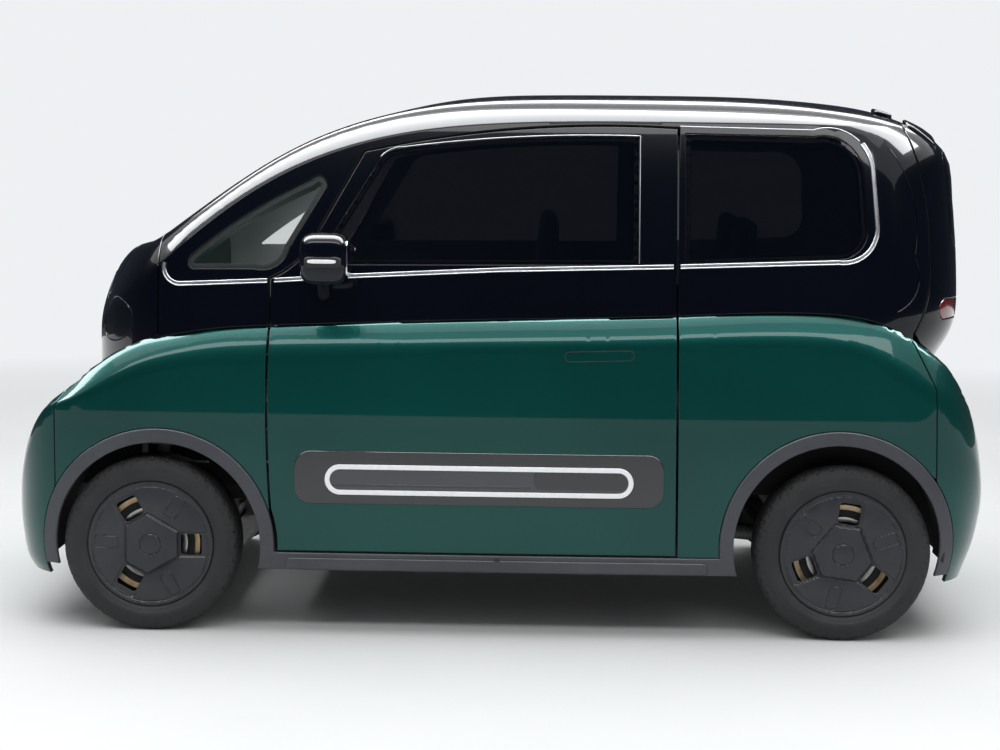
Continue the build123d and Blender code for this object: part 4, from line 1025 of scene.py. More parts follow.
def ledge_lines():
    """Ridges of the tub on its left side, along the crease and up over the ledge, and round nose and tail.

    Round a corner a line keeps the distance to the wall that its share of the fall has: LEDGE_WIDTH less
    FALL_WIDTH share^(1 / FALL_POWER).
    """
    x = np.linspace(-CORNER_START, CORNER_START, 174)
    lines = [
        from_side(tub_field, np.stack([x, TUB_TOP(x) - share * LEDGE_FALL(x) + lift], -1))
        for share, lift in LEDGE_LINES
    ]
    a = np.radians(np.linspace(0, 76, 90))
    for sign in (1, -1):
        for share, lift in LEDGE_LINES:
            inset = LEDGE_WIDTH - FALL_WIDTH * share ** (1 / FALL_POWER)
            z = np.full(a.shape, 700.0)
            for _ in range(10):
                start, ahead = triple(sign * NOSE_X, 0 * a, z), triple(sign * np.cos(a), np.sin(a), 0)
                p = cast(lambda q: tub_wall(q) + max(inset, 0.3), start, ahead)
                height = TUB_TOP(p[..., 0]) - share * LEDGE_FALL(p[..., 0]) + lift
                z = 0.5 * z + 0.5 * np.maximum(height, 400)
            lines.append(triple(p[..., 0], p[..., 1], z)[abs(p[..., 0]) > CORNER_START + 8])
    return lines


LEDGE = ledge_lines()

# Painted panels of the tub
front_line = pushed(legs(DOOR_FRONT_LINE), FRONT_ARCH, TRIM_RADIUS + 10)
rear_line = legs([front_line[-1], (DOOR_REAR - 8, DOOR_BOTTOM), (DOOR_REAR, TUB_TOP(DOOR_REAR) - HALF_SEAM)])
door_line = np.vstack([front_line, rear_line[1:]])
door_loop = np.vstack([from_side(tub_field, door_line), seam(DOOR_REAR, DOOR_FRONT)])


def door_inside(p):
    """Inner face of a door: the tub at the door's depth and, above it, the inside of the cabin's wall."""
    upper = np.maximum(cabin_field(p) + CABIN_WALL, TUB_TOP(p[..., 0]) - 90 - p[..., 2])
    return np.minimum(tub_field(p) + DOOR_WALL, upper)


box_line = grown(np.vstack([door_line, foot(DOOR_REAR, DOOR_FRONT, 30)[1:-1]]), -FLANGE)
box_line[:, 1] = np.minimum(box_line[:, 1], TUB_TOP(box_line[:, 0]) - 26)
door = shell(TUB_FAN, [door_loop], ridges=LEDGE) + shell(
    TUB_SIDE, [from_side(tub_field, box_line)], outer=SKIN, edge=8, spacing=30, layers=(1, 1, 1),
    below=Chart(door_inside, "side"),
)
pair("door_skin", door, ["green", "inside"], "door-", "green_paint", "door-")


def shut_line(rows, shift, arch):
    """Side view shut line moved along the car by shift, kept outside the arch trim and under the ledge."""
    return below_ledge(outside(legs([(x + shift, z) for x, z in rows]), arch, TRIM_OUT))


def mask_corner(shift):
    """Edge beside the mask where fender and bumper meet, seen from above and moved outwards by shift."""
    x, y = NOSE_LINE[-1][0] + shift, 560 - shift
    return from_above(tub_field, legs([(x, 700), (x, y), (NOSE - 272, y)]))[1:]


arch_line = outside(legs([
    (DOOR_FRONT + GAP, TUB_TOP(DOOR_FRONT) - HALF_SEAM), (DOOR_FRONT + GAP, 900),
    [(DOOR_FRONT + 4 + GAP, 690), (DOOR_FRONT - 18 + GAP, DOOR_BOTTOM)],
]), FRONT_ARCH, TRIM_OUT)
nose_line = shut_line(NOSE_LINE, -HALF_SEAM, FRONT_ARCH)
ends = bearing(arch_line[-1], FRONT_ARCH), bearing(nose_line[0], FRONT_ARCH)
trim_line = circle_line(FRONT_ARCH, TRIM_OUT, *ends)
fender_side = from_side(tub_field, np.vstack([arch_line, trim_line[1:-1], nose_line]))
fender_loop = np.vstack([fender_side, mask_corner(-HALF_SEAM), seam(NOSE - 284, DOOR_FRONT + GAP)])
fender = shell(TUB_FAN, [fender_loop], ridges=LEDGE)
pair("fender_skin", fender, ["green", "liner"], "body", "green_paint", "fender-")

tail_line = shut_line(TAIL_LINE, HALF_SEAM, REAR_ARCH)
rear_edge, sill_edge = DOOR_REAR - GAP, SILL_TOP + HALF_SEAM
quarter_side = from_side(tub_field, np.vstack([
    legs([
        (rear_edge, TUB_TOP(rear_edge) - HALF_SEAM), (rear_edge - 8, sill_edge),
        (REAR_ARCH[0] + 344, sill_edge),
    ]),
    circle_line(REAR_ARCH, TRIM_OUT, -5.2, bearing(tail_line[0], REAR_ARCH))[1:-1], tail_line,
]))
quarter = shell(TUB_FAN, [np.vstack([quarter_side, seam(tail_line[-1][0] + 3, rear_edge)])], ridges=LEDGE)
pair("quarter_skin", quarter, ["green", "liner"], "body", "green_paint", "quarter-")


def bumper_loop(sign, low, arch, shut, *top):
    """Loop of the front (sign 1) or rear bumper (sign -1): bottom edge, arch, shut line and top."""
    middle = NOSE_X if sign > 0 else TAIL_X
    a = np.radians(np.linspace(0, 62, 70))
    bottom = cast(tub_field, triple(middle, 0 * a, low), triple(sign * np.cos(a), np.sin(a), 0))
    edge = arch[0] + sign * math.sqrt(TRIM_OUT**2 - (arch[1] - low) ** 2)
    bottom = bottom[sign * bottom[:, 0] > sign * edge + 3]
    start = bearing((edge, low), arch)
    arc = circle_line(arch, TRIM_OUT, start if sign > 0 else start % 360, bearing(shut[0], arch))[:-1]
    return whole(np.vstack([bottom, from_side(tub_field, np.vstack([arc, shut])), *top]))


nose_line = shut_line(NOSE_LINE, HALF_SEAM, FRONT_ARCH)
loop = bumper_loop(1, 157.0, FRONT_ARCH, nose_line, mask_corner(HALF_SEAM), seam_round(NOSE - 520, 1, 64, 0))
front_bumper = shell(NOSE_MAP, [loop], ridges=doubled(LEDGE), layers=(0, 1, 1))
piece("front_bumper_skin", front_bumper, ["green", "liner"], "body", "green_paint", "front_bumper")

tail_line = shut_line(TAIL_LINE, -HALF_SEAM, REAR_ARCH)
turn = math.degrees(math.atan2(740, GATE_X - tail_line[-1][0]))
loop = bumper_loop(-1, 168.0, REAR_ARCH, tail_line, seam_round(GATE_X, -1, turn, 0))
rear_bumper = shell(TAIL_MAP, [loop], ridges=doubled(LEDGE), layers=(0, 1, 1))
piece("rear_bumper_skin", rear_bumper, ["green", "liner"], "body", "green_paint", "rear_bumper")

# Arch trims and sill: one strip that stands proud of the paint
low = SILL_BOTTOM
arches = FRONT_ARCH, REAR_ARCH
angles = [math.degrees(math.asin((low - c[1]) / r)) for c in arches for r in (TRIM_RADIUS, ARCH_RADIUS)]
tops = [math.degrees(math.asin((SILL_TOP - c[1]) / TRIM_RADIUS)) for c in arches]
cladding_line = np.vstack([
    circle_line(FRONT_ARCH, TRIM_RADIUS, angles[0], 180 - tops[0]),
    legs([(FRONT_ARCH[0] - 342.5, SILL_TOP), (REAR_ARCH[0] + 341, SILL_TOP)])[1:-1],
    circle_line(REAR_ARCH, TRIM_RADIUS, tops[1], 180 - angles[2]),
    circle_line(REAR_ARCH, ARCH_RADIUS, 180 - angles[3], angles[3]),
    legs([(REAR_ARCH[0] + 290, low), (FRONT_ARCH[0] - 290, low)])[1:-1],
    circle_line(FRONT_ARCH, ARCH_RADIUS, 180 - angles[1], angles[1]),
])
proud = TUB_SIDE.deeper(-PROUD)
cladding = shell(proud, [from_side(proud.field, cladding_line)], inner=24, edge=4, spacing=14)
step_line = rounded(REAR_ARCH[0] + 372, FRONT_ARCH[0] - 372, SILL_BOTTOM + 4, SILL_TOP - 14, 10)
step_line[:, 0] += (step_line[:, 1] - SILL_BOTTOM) * np.where(step_line[:, 0] > 0, -0.25, 0.25)
prouder = TUB_SIDE.deeper(-PROUD - 6)
cladding += shell(prouder, [from_side(prouder.field, step_line)], inner=7, edge=4, spacing=16)
pair("cladding_strip", cladding, ["cladding", "liner"], "body", "grey_plastic", "cladding-")


def fine_line(path, layer):
    """Thin raised line along a side view path on the cabin."""
    p = on_cabin(path)
    n = facing(cabin_field, p)
    return ribbon(p + 0.3 * n, n, oval(3.0, 2.4, 10, 0.8), layer)


def pane(chart, line, lift=on_cabin):
    """Window pane, a small gap inside its opening."""
    return shell(chart, [lift(grown(line, -GLASS_GAP))], inner=GLASS, edge=0.8, spacing=40)


def break_ridges(x0, x1):
    """Ridges on both sides of the cabin, just outside and inside of the line where it breaks inwards."""
    return doubled([on_cabin(break_line(x0, x1, offset)) for offset in (-3.0, 3.0)])


def hinge_cover(x0, x1, y0, y1, r):
    """Low covers by the tailgate's top edge, on both sides, between x0 and x1 and y0 and y1 from above."""
    chart = CABIN_ABOVE.deeper(-13)
    outline = from_above(chart.field, rounded(x0, x1, y0, y1, r), 900)
    return both(shell(chart, [outline], inner=18, edge=7, spacing=14, layers=(0, 0, 0)))


# Upper door and side windows
upper_line = np.vstack([legs(DOOR_TOP), foot(DOOR_FRONT, DOOR_REAR)[1:-1]])
upper = shell(CABIN_SIDE, [on_cabin(upper_line), on_cabin(DOOR_GLASS)], inner=GLASS, layers=(0, 1, 1))
frame_loops = [on_cabin(grown(upper_line, -FLANGE)), on_cabin(grown(DOOR_GLASS, -REBATE))]
upper += shell(CABIN_SIDE, frame_loops, outer=GLASS, inner=CABIN_WALL, layers=(1, 1, 2), spacing=26)
upper += fine_line(legs([
    (DOOR_FRONT - 312, HEIGHT - 203), [(DOOR_FRONT - 338, HEIGHT - 183), (DOOR_FRONT - 380, HEIGHT - 174)],
    [(10, HEIGHT - 145), (DOOR_REAR + 109, HEIGHT - 135)], (DOOR_REAR + 109, 1094),
], 12), 3)
pair("door_frame", upper, ["black", "seal", "inside", "satin"], "door-", "black_paint", "door_upper-")
pair("door_pane", pane(CABIN_SIDE, DOOR_GLASS), ["dark", "dark"], "door-", "dark_glass", "door_glass-")
quarter_panes, rear_panes = both(pane(CABIN_SIDE, QUARTER_GLASS)), both(pane(CABIN_SIDE, REAR_GLASS))
piece("quarter_pane", quarter_panes, ["clear", "clear"], "body", "clear_glass", "quarter_glass")
piece("rear_side_pane", rear_panes, ["dark", "dark"], "body", "dark_glass", "rear_side_glass")

# Cabin shell, from the middle of the roof's rear edge round the left side to the middle of its front edge
screen_line = legs(SCREEN)
SPLIT = NOSE - 447
shell_x, mask_x = SPLIT - HALF_SEAM, SPLIT + HALF_SEAM
back_x = TAIL + 264 + GAP
y_top = on_cabin(np.array([[back_x, HEIGHT - 108]]))[0, 1]
y_split = on_cabin(np.array([[shell_x, 1060]]))[0, 1]
kept = screen_line[screen_line[:, 0] < shell_x][::-1]
cabin_half = np.vstack([
    on_roof(legs([(back_x, 0), (back_x, y_top - 8)], 14)),
    on_cabin(legs([
        (back_x, HEIGHT - 108), [(TAIL + 213 + GAP, HEIGHT - 265), (TAIL + 193 + GAP, 1120)],
        [(TAIL + 196 + GAP, 1010), (TAIL + 240 + GAP, 898)],
    ])),
    on_cabin(foot(TAIL + 240 + GAP, DOOR_REAR - GAP)), on_cabin(legs(APERTURE_TOP))[1:],
    on_cabin(foot(DOOR_FRONT + GAP, shell_x))[1:],
    on_cabin(legs([(shell_x, TUB_TOP(SPLIT) - 3), (shell_x, 1060)]))[1:],
    on_roof(legs([(shell_x, y_split - 6), (shell_x, kept[0][1] + 6)]), 800), on_roof(kept),
])
holes = doubled([on_cabin(line) for line in (QUARTER_GLASS, REAR_GLASS)])
narrow = doubled([on_cabin(grown(line, -REBATE)) for line in (QUARTER_GLASS, REAR_GLASS)])
creases = break_ridges(back_x + 14, SPLIT - 12)
edge_loop = whole(cabin_half)
roof = shell(CABIN_FAN, [edge_loop, *holes], inner=GLASS, spacing=22, ridges=creases, layers=(0, 1, 1))
roof += shell(CABIN_FAN, [edge_loop, *narrow], outer=GLASS, inner=CABIN_WALL, spacing=34, layers=(1, 1, 2))
roof += both(fine_line(legs([
    (TAIL + 322, 1432), [(TAIL + 262, 1330), (TAIL + 246, 1120)], [(TAIL + 258, 990), (TAIL + 300, 962)],
], 12), 0))
roof += hinge_cover(TAIL + 276, TAIL + 330, 320, 410, 12)
piece("cabin_skin", roof, ["black", "seal", "lining"], "body", "black_paint", "cabin_shell")

windscreen = pane(CABIN_ABOVE, halves(screen_line, [1, -1]), on_roof)
piece("windscreen_pane", windscreen, ["clear", "clear"], "body", "clear_glass", "windscreen")

# Mask and bonnet
kept = screen_line[screen_line[:, 0] > mask_x][::-1]
angle = math.degrees(math.atan2(727, mask_x - MASK_X))
mask_half = np.vstack([
    on_roof(kept), on_roof(legs([(mask_x, kept[-1][1] + 6), (mask_x, y_split - 6)]), 800),
    on_cabin(legs([(mask_x, 1060), (mask_x, TUB_TOP(SPLIT) - 3)])),
    seam_round(MASK_X, 1, angle, 0, 0, -3)[1:],
])
bonnet_line = halves(legs(BONNET), [1, -1])
loops = [whole(mask_half), on_roof(grown(bonnet_line, GAP), 800), *doubled([on_mask(HEAD_LAMP)])]
mask = shell(MASK_MAP, loops, inner=20, spacing=16, ridges=break_ridges(SPLIT + 12, CHEEK_X))
piece("mask_skin", mask, ["black", "seal"], "body", "black_paint", "front_mask")
bonnet = shell(CABIN_ABOVE, [on_roof(bonnet_line, 800)], inner=SKIN, spacing=22)
piece("bonnet_skin", bonnet, ["black", "seal"], "bonnet", "black_paint", "bonnet")

# Tailgate
edge_x = TAIL + 264
gate_half = np.vstack([
    on_roof(legs([(edge_x, 0), (edge_x, y_top - 8)], 14)), on_cabin(legs(GATE_SIDE)),
    seam_round(GATE_X, -1, 66, 0, 0, GAP),
])
rear_window = halves(legs(REAR_WINDOW), [-1, 1])
loops = [whole(gate_half), on_gate(rear_window), *doubled([on_gate(TAIL_LAMP)])]
gate = shell(GATE_MAP, loops, inner=CABIN_WALL, spacing=20, layers=(0, 1, 2))
gate += hinge_cover(TAIL + 158, TAIL + 250, 425, 525, 16)
piece("tailgate_skin", gate, ["black", "seal", "inside"], "tailgate", "black_paint", "tailgate")
rear_pane = pane(GATE_MAP, rear_window, on_gate)
piece("tailgate_pane", rear_pane, ["dark", "dark"], "tailgate", "dark_glass", "tailgate_glass")
red = shell(GATE_MAP, [on_gate(grown(TAIL_LAMP, -GLASS_GAP))], inner=CABIN_WALL, edge=4, spacing=10)
piece("tail_lamp_lenses", both(red), ["red", "seal"], "tailgate", "tail_lens", "tail_lamps")


def smooth(t):
    """0 below 0, 1 above 1, and the cubic 3 t^2 - 2 t^3 between."""
    t = np.clip(t, 0, 1)
    return t * t * (3 - 2 * t)


def plate(u, v, w, h, r):
    """Distance outside a rounded rectangle of width w and height h about the origin."""
    a, b = np.abs(u) - w / 2 + r, np.abs(v) - h / 2 + r
    return np.hypot(np.maximum(a, 0), np.maximum(b, 0)) + np.minimum(np.maximum(a, b), 0) - r


# Wheels: the cover is a relief over the wheel's disc, with u to the car's rear and v up
COVER_RADIUS = 184.0
FACE = FRONT_WHEEL[1] + TYRE_HALF - 2
WINDOW = (119.0, 62.0, 9.0)
CAP_RADIUS = 31.0
TYRE_STEPS = 324
SIDEWALL_RINGS = (190.0, 205.0, 229.0)
TREAD_GROOVES = (-26.0, 0.0, 26.0)
SHOULDER_BLOCKS = 36
SIPES = 54
WHEEL_FINISHES = ["cover", "cover", "steel", "brake", "liner", "bronze"]


def relief(u, v, turn):
    """Height of the cover: shallow dish, rim, three outlined plates, sunk window frames and six-sided hub."""
    r, a = np.hypot(u, v), np.arctan2(v, u) - math.radians(turn)
    h = FACE - 8 + 5.5 * (1 - np.clip((r - 124) / 60, -1, 1) ** 2)
    h = h + 2.6 * smooth((r - 172) / 3) - 1.8 * np.exp(-((r - 170) / 1.6) ** 2)
    for k in range(3):
        for angle, size, sink in ((120 * k, (88, 74, 12), 0), (120 * k + 57, (70, 35, 9), 1)):
            t = math.radians(angle + turn)
            p, q = u * math.cos(t) + v * math.sin(t), v * math.cos(t) - u * math.sin(t)
            d = plate(p - (130 if sink else 122), q, *size)
            h = h - (2.6 * np.exp(-(d / 1.9) ** 2) if sink else 3.4 * smooth(0.5 - d / 3.0))
    sides = [r * np.cos(a - math.radians(60 * k)) - (73 if k % 2 else 82) for k in range(6)]
    hub = np.max(sides, 0)
    h = np.where(r < 110, h + smooth(-hub / 5) * (FACE + 0.8 - h), h)
    h = h - 2.6 * np.exp(-((hub - 1.5) / 1.6) ** 2)
    ring_out = r - CAP_RADIUS
    h = h - 2.2 * np.exp(-(ring_out / 1.6) ** 2) + 1.6 * smooth(-ring_out / 4)
    return h - 1.2 * np.clip(r / CAP_RADIUS, 0, 1) ** 2 * (ring_out < 0)


def wheel_cover(centre, turn):
    """Cover with its three windows cut through."""
    def field(p):
        return p[..., 1] - relief(centre[0] - p[..., 0], p[..., 2] - centre[2], turn)

    loops = [circle_line((centre[0], centre[2]), COVER_RADIUS - 1, 0, 360, 5)[:-1]]
    for k in range(3):
        t = math.radians(turn + 120 * k)
        x0, w, r = WINDOW
        p, q = rounded(x0 - w / 2, x0 + w / 2, -w / 2, w / 2, r).T
        x, z = q * math.sin(t) - p * math.cos(t), p * math.sin(t) + q * math.cos(t)
        loops.append(np.stack([centre[0] + x, centre[2] + z], -1))
    loops = [from_side(field, line) for line in loops]
    return shell(Chart(field, "side"), loops, inner=5, edge=1.6, spacing=4.2)


def rim(centre):
    """Steel wheel behind the cover: barrel with a stamped disc, brake disc with its bell and two rings."""
    barrel = [
        (177, 62), (181, 66), (183.5, 64), (179, 58), (176, 40), (176, -65), (181, -64), (178, -59),
        (168, -50), (168, 20),
        (158, 34), (140, 40), (112, 30), (84, 34), (60, 28), (58, 22), (84, 28), (112, 24), (140, 34),
        (156, 28),
        (165, 16), (170, 30), (171, 50), (177, 62),
    ]
    brake = [(0, 36), (22, 36), (28, 30), (64, 28), (64, -40), (116, -42), (116, -54), (20, -54), (0, -54)]
    inner_ring = [(90, 40), (104, 44), (106, 42), (106, 36), (90, 34), (90, 40)]
    outer_ring = [(128, 44), (142, 50), (144, 48), (144, 42), (128, 38), (128, 44)]
    form, *others = (
        revolve(section, centre, 72, layer)
        for section, layer in ((barrel, 4), (brake, 3), (inner_ring, 2), (outer_ring, 5))
    )
    return sum(others, form)


def tyre(centre):
    """Tyre: a section of beads, sidewalls with rings and tread with grooves, turned about the axle.

    Three grooves run round the tread. Blocks are cut into its shoulders by |sin| of the angle, slanted by y.
    """
    half = legs([
        (176, 52), (177, 60), (186, 68), (196, 73.5), (212, 77), (224, 75.5), (233, 72), (243, 68.5),
        (250, 63),
        (254.5, 56), (256.4, 47), (257.3, 36), (257.8, 18), (258, 0),
    ], 3.0)
    r, y = np.vstack([half, (half * [1, -1])[-2::-1]]).T
    rings = sum(0.9 * np.exp(-((r - at) / 1.5) ** 2) for at in SIDEWALL_RINGS)
    rings = rings - 0.8 * np.exp(-((r - 198.0) / 3) ** 2)
    y = y + np.where(r < 240, np.sign(y) * rings, 0)
    y = np.clip(y, -77.4, 77.4)
    a = np.linspace(0, 2 * np.pi, TYRE_STEPS, endpoint=False)[:, None]
    grooves = sum(5.5 * smooth(1.6 - np.abs(y - at) / 2.6) for at in TREAD_GROOVES)
    slant = a + y / 900 * np.sign(y)
    bars = smooth((np.abs(np.sin(SHOULDER_BLOCKS * slant)) - 0.1) / 0.14)
    blocks = 4.5 * (1 - bars) * smooth((np.abs(y) - 33) / 4) * smooth((r - 243) / 6)
    notch = 2.6 * (1 - bars) * smooth((r - 231) / 5) * smooth((258 - r) / 6)
    sipes = 2.0 * (1 - smooth(np.abs(np.sin(SIPES * (a + y / 500))) / 0.2)) * smooth(1 - (np.abs(y) - 20) / 3)
    deep = np.where(r > 240, grooves + blocks + sipes * (r > 255), 0)
    radius = r - deep
    y = y - np.sign(y) * notch
    p = triple(centre[0] + radius * np.cos(a), centre[1] + y, centre[2] + radius * np.sin(a))
    middle = triple(centre[0] + 217 * np.cos(a), centre[1], centre[2] + 217 * np.sin(a)) + 0 * p
    return grid(p, loop_u=True).outward(middle.reshape(-1, 3))


for end_name, centre, turn in (("front", FRONT_WHEEL, 0.0), ("rear", REAR_WHEEL, 82.0)):
    wheel, body = wheel_cover(centre, turn) + rim(centre), f"wheel_{end_name}-"
    pair(f"wheel_{end_name}_set", wheel, WHEEL_FINISHES, body, "wheel_plastic", body)
    pair(f"tyre_{end_name}_tread", tyre(centre), ["rubber"], body, "tyre_rubber", f"tyre_{end_name}-")

# Door trim panel, its white ring and gloss inlay, and the belt's strips
TRIM_FINISHES = ["satin", "chrome", "insert", "seal", "white", "inlay"]
SATIN, CHROME, PANEL, SEAL, WHITE, INLAY = range(6)


def raised(height, thick, edge, layer, line, hole=None):
    """Flat moulding on the tub's side, height above the paint."""
    chart = TUB_SIDE.deeper(-height)
    loops = [from_side(chart.field, outline) for outline in ([line] if hole is None else [line, hole])]
    return shell(chart, loops, inner=thick, edge=edge, spacing=22).layered(layer)


panel = rounded(DOOR_REAR + 30, DOOR_FRONT - 76, 390, 544, 46)
ring_box = (DOOR_REAR + 117, DOOR_FRONT - 164, 417, 506, 44.4)
trim = raised(3, 3.5, 2.4, PANEL, panel, rounded(*ring_box, 1))
trim += raised(PROUD, 5.5, 2, WHITE, rounded(*ring_box), rounded(*ring_box, 14.5))
trim += raised(1.6, 2, 0.5, INLAY, rounded(*ring_box, 14))
trim += raised(2.8, 2, 1.2, PANEL, rounded(DOOR_REAR + 137, DOOR_REAR + 405, 441, 494, 17))
trim += raised(2.0, 2, 0.8, PANEL, rounded(DOOR_REAR + 414, DOOR_FRONT - 186, 441, 448, 3.4))
handle = rounded(-385, -188, 815, 842, 12)
handle[:, 1] += (handle[:, 0] + 286) * -0.03
trim += raised(0.25, 0.5, 0.1, SEAL, grown(handle, 2.0), grown(handle, -0.5))


def belt(path):
    """Strip along a side view line: a satin band between two bright ridges."""
    p = on_cabin(path)
    n = facing(cabin_field, p)
    across = unit(np.cross(unit(np.gradient(p, axis=0)), n))
    form = ribbon(p + 0.8 * n, n, oval(9.0, 3.2, 12, 0.5), SATIN)
    for w, h in ((-5.0, 2.6), (5.0, 3.6)):
        form += ribbon(p + 1.5 * n + w * across, n, oval(h, 4.4, 10, 0.8), CHROME)
    return form


belt_line = legs([
    (NOSE - 467, 1080), [(NOSE - 484, 1030), (NOSE - 522, 1020)], (DOOR_FRONT, 1032),
    (DOOR_FRONT - 233, 1048), (0, 1071),
    (DOOR_REAR, 1086), (TAIL + 472, 1104), [(TAIL + 387, 1136), (TAIL + 363, 1215)],
    (TAIL + 375, HEIGHT - 226),
    [(TAIL + 412, HEIGHT - 144), (TAIL + 547, HEIGHT - 112)], (DOOR_REAR - 6, HEIGHT - 106),
], 10)
ahead = belt_line[belt_line[:, 0] > DOOR_FRONT + GAP]
over_door = abs(belt_line[:, 0] - (DOOR_FRONT + DOOR_REAR) / 2) < (DOOR_FRONT - DOOR_REAR) / 2 - 1
trim += belt(belt_line[over_door & (belt_line[:, 1] < 1300)])
pair("door_trim_set", trim, TRIM_FINISHES, "door-", "grey_plastic", "door_trim-")
behind = belt_line[belt_line[:, 0] < DOOR_REAR - 5]
arch_end = len(behind) - int((behind[:, 1] > HEIGHT - 150).sum())
strips = belt(ahead) + belt(behind[:arch_end]) + fine_line(behind[arch_end:], SATIN)
piece("belt_strips", both(strips), TRIM_FINISHES[:2], "body", "bright_trim", "belt_moulding")

# Mirrors
MIRROR = np.array([498.0, 885.0, 1104.0])
mirror = lump(MIRROR, (140, 163, 146), 0.5, 48, 72)
mirror += tube(np.linspace([515, 752, 990], [506, 872, 1062], 12), 19, 20)
mirror += lump(MIRROR + [-66, 0, 2], (6, 128, 104), 0.35, 20, 40, layer=1)
mirror += lump(MIRROR + [0, 76.5, -8], (104, 12, 34), 0.5, 16, 48, layer=3)
mirror += lump(MIRROR + [2, 78.8, -6], (84, 10, 12), 0.5, 16, 32, layer=2)
pair("mirror_set", mirror, ["black", "silver", "lit", "seal"], "door-", "black_paint", "mirror-")

# Head lamps: a clear lens over a black housing with a row of bright elements
lens = shell(MASK_MAP, [on_mask(grown(HEAD_LAMP, -GLASS_GAP))], inner=5, edge=2, spacing=10)
lens += shell(MASK_MAP, [on_mask(grown(HEAD_LAMP, -3))], outer=26, inner=34, edge=1, spacing=16).layered(1)
for spot_yz in ((570, 940), (600, 930), (630, 915), (655, 892), (600, 880), (572, 890)):
    spot = from_end(MASK_MAP.deeper(24).field, np.array([spot_yz]), 1)[0]
    lens += lump(spot, (16, 20, 16), 0.6, 12, 20, layer=2)
piece("head_lamp_sets", both(lens), ["lens", "black", "lit"], "body", "lamp_lens", "head_lamps")

# Seats and rear bench, whose pads follow the plain solids' side outlines
SEAT_X, SEAT_Y = 150, 330


def at_seat(*rows):
    """Side view points given from the seat's middle."""
    return [(SEAT_X + x, z) for x, z in rows]


def block(x0, x1, z0, z1, middle, width):
    """Plain block with slightly rounded edges."""
    return pad([(x0, z0), (x1, z0), (x1, z1), (x0, z1)], middle, width, side=6, bulge=0)


cushion = at_seat(
    (-208, 444), (250, 472), (272, 488), (280, 508), (272, 530), (250, 543), (-120, 500), (-204, 518),
)
back = at_seat((-224, 452), (-122, 481), (-236, 1036), (-252, 1052), (-276, 1060), (-302, 1050), (-316, 1028))
rest = at_seat((-320, 1087), (-243, 1080), (-259, 1212), (-284, 1226), (-316, 1204))
across = at_seat(*((x, 500 + 0.116 * (x + 120)) for x in (10, 130)))
pads = pad(cushion, SEAT_Y, 466, seams=(-140, 140), channels=across)
across = at_seat(*((-122 - 0.2054 * (z - 481), z) for z in (640, 780, 920)))
pads += pad(back, SEAT_Y, 436, seams=(-130, 130), channels=across)
pads += pad(rest, SEAT_Y, 236, side=30, bulge=6)
pair("seat_pads", pads, ["seat"], "body", "seat_fabric", "seat-")
base = block(SEAT_X - 178, SEAT_X + 178, span("seat_left")[0][2] + 1, 462, SEAT_Y, 386)
for post_y in (SEAT_Y - 55, SEAT_Y + 55):
    post = [(x, post_y, z) for x, z in at_seat((-284, 1030), (-278, 1070), (-272, 1100))]
    base += tube(post, 6.5, layer=1)
pair("seat_frame", base, ["inside", "steel"], "body", "cast_metal")

BENCH_SEAMS = (-300, 0, 300)
cushion = [
    (-628, 601), (-578, 601), (-574, 424), (-300, 442), (-276, 456), (-266, 480), (-274, 504), (-292, 519),
    (-600, 638),
]
back = [(-698, 607), (-592, 607), (-701, 1088), (-716, 1103), (-735, 1108), (-756, 1100), (-769, 1080)]
rest = [(-773, 1101), (-702, 1087), (-713, 1213), (-740, 1224), (-776, 1200)]
across = [(-592 - 0.2266 * (z - 607), z) for z in (780, 940)]
bench = pad(cushion, 0, 1136, seams=BENCH_SEAMS, channels=[(-420, 569)], cols=101)
bench += pad(back, 0, 1116, seams=BENCH_SEAMS, channels=across, cols=101)
bench += pad(rest, -290, 226, side=28, bulge=6) + pad(rest, 290, 226, side=28, bulge=6)
piece("bench_pads", bench, ["seat"], "body", "seat_fabric", "rear_bench")
bench_base = block(-568, -342, span("rear_bench")[0][2] + 1, 430, 0, 956)
piece("bench_frame", bench_base, ["inside"], "body", "cast_metal")

# Camera, light and floor
WORLD = (0.93, 0.95, 0.97)
HAZE = 0.92
FOCAL_LENGTH, SENSOR_WIDTH = 77.33, 36.0
CAMERA_PLACE = (-0.1244, 6.9685, 1.3823)
CAMERA_TURNS = (0.02016, "Y"), (-0.09897, "X"), (0.01183, "Z")


def sky():
    """Pale world. Diffuse rays see it dimmer, so that the soft boxes model the form."""
    world = bpy.data.worlds.new("studio")
    world.use_nodes = True
    tree = world.node_tree
    background = tree.nodes["Background"]
    background.inputs["Color"].default_value = (*WORLD, 1.0)
    path = tree.nodes.new("ShaderNodeLightPath")
    total = path.outputs["Is Camera Ray"]
    for name in ("Is Glossy Ray", "Is Transmission Ray"):
        add = tree.nodes.new("ShaderNodeMath")
        add.operation, add.use_clamp = "ADD", True
        tree.links.new(total, add.inputs[0])
        tree.links.new(path.outputs[name], add.inputs[1])
        total = add.outputs[0]
    strength = tree.nodes.new("ShaderNodeMapRange")
    strength.inputs["To Min"].default_value, strength.inputs["To Max"].default_value = 0.5, HAZE
    tree.links.new(total, strength.inputs["Value"])
    tree.links.new(strength.outputs[0], background.inputs["Strength"])
    return world


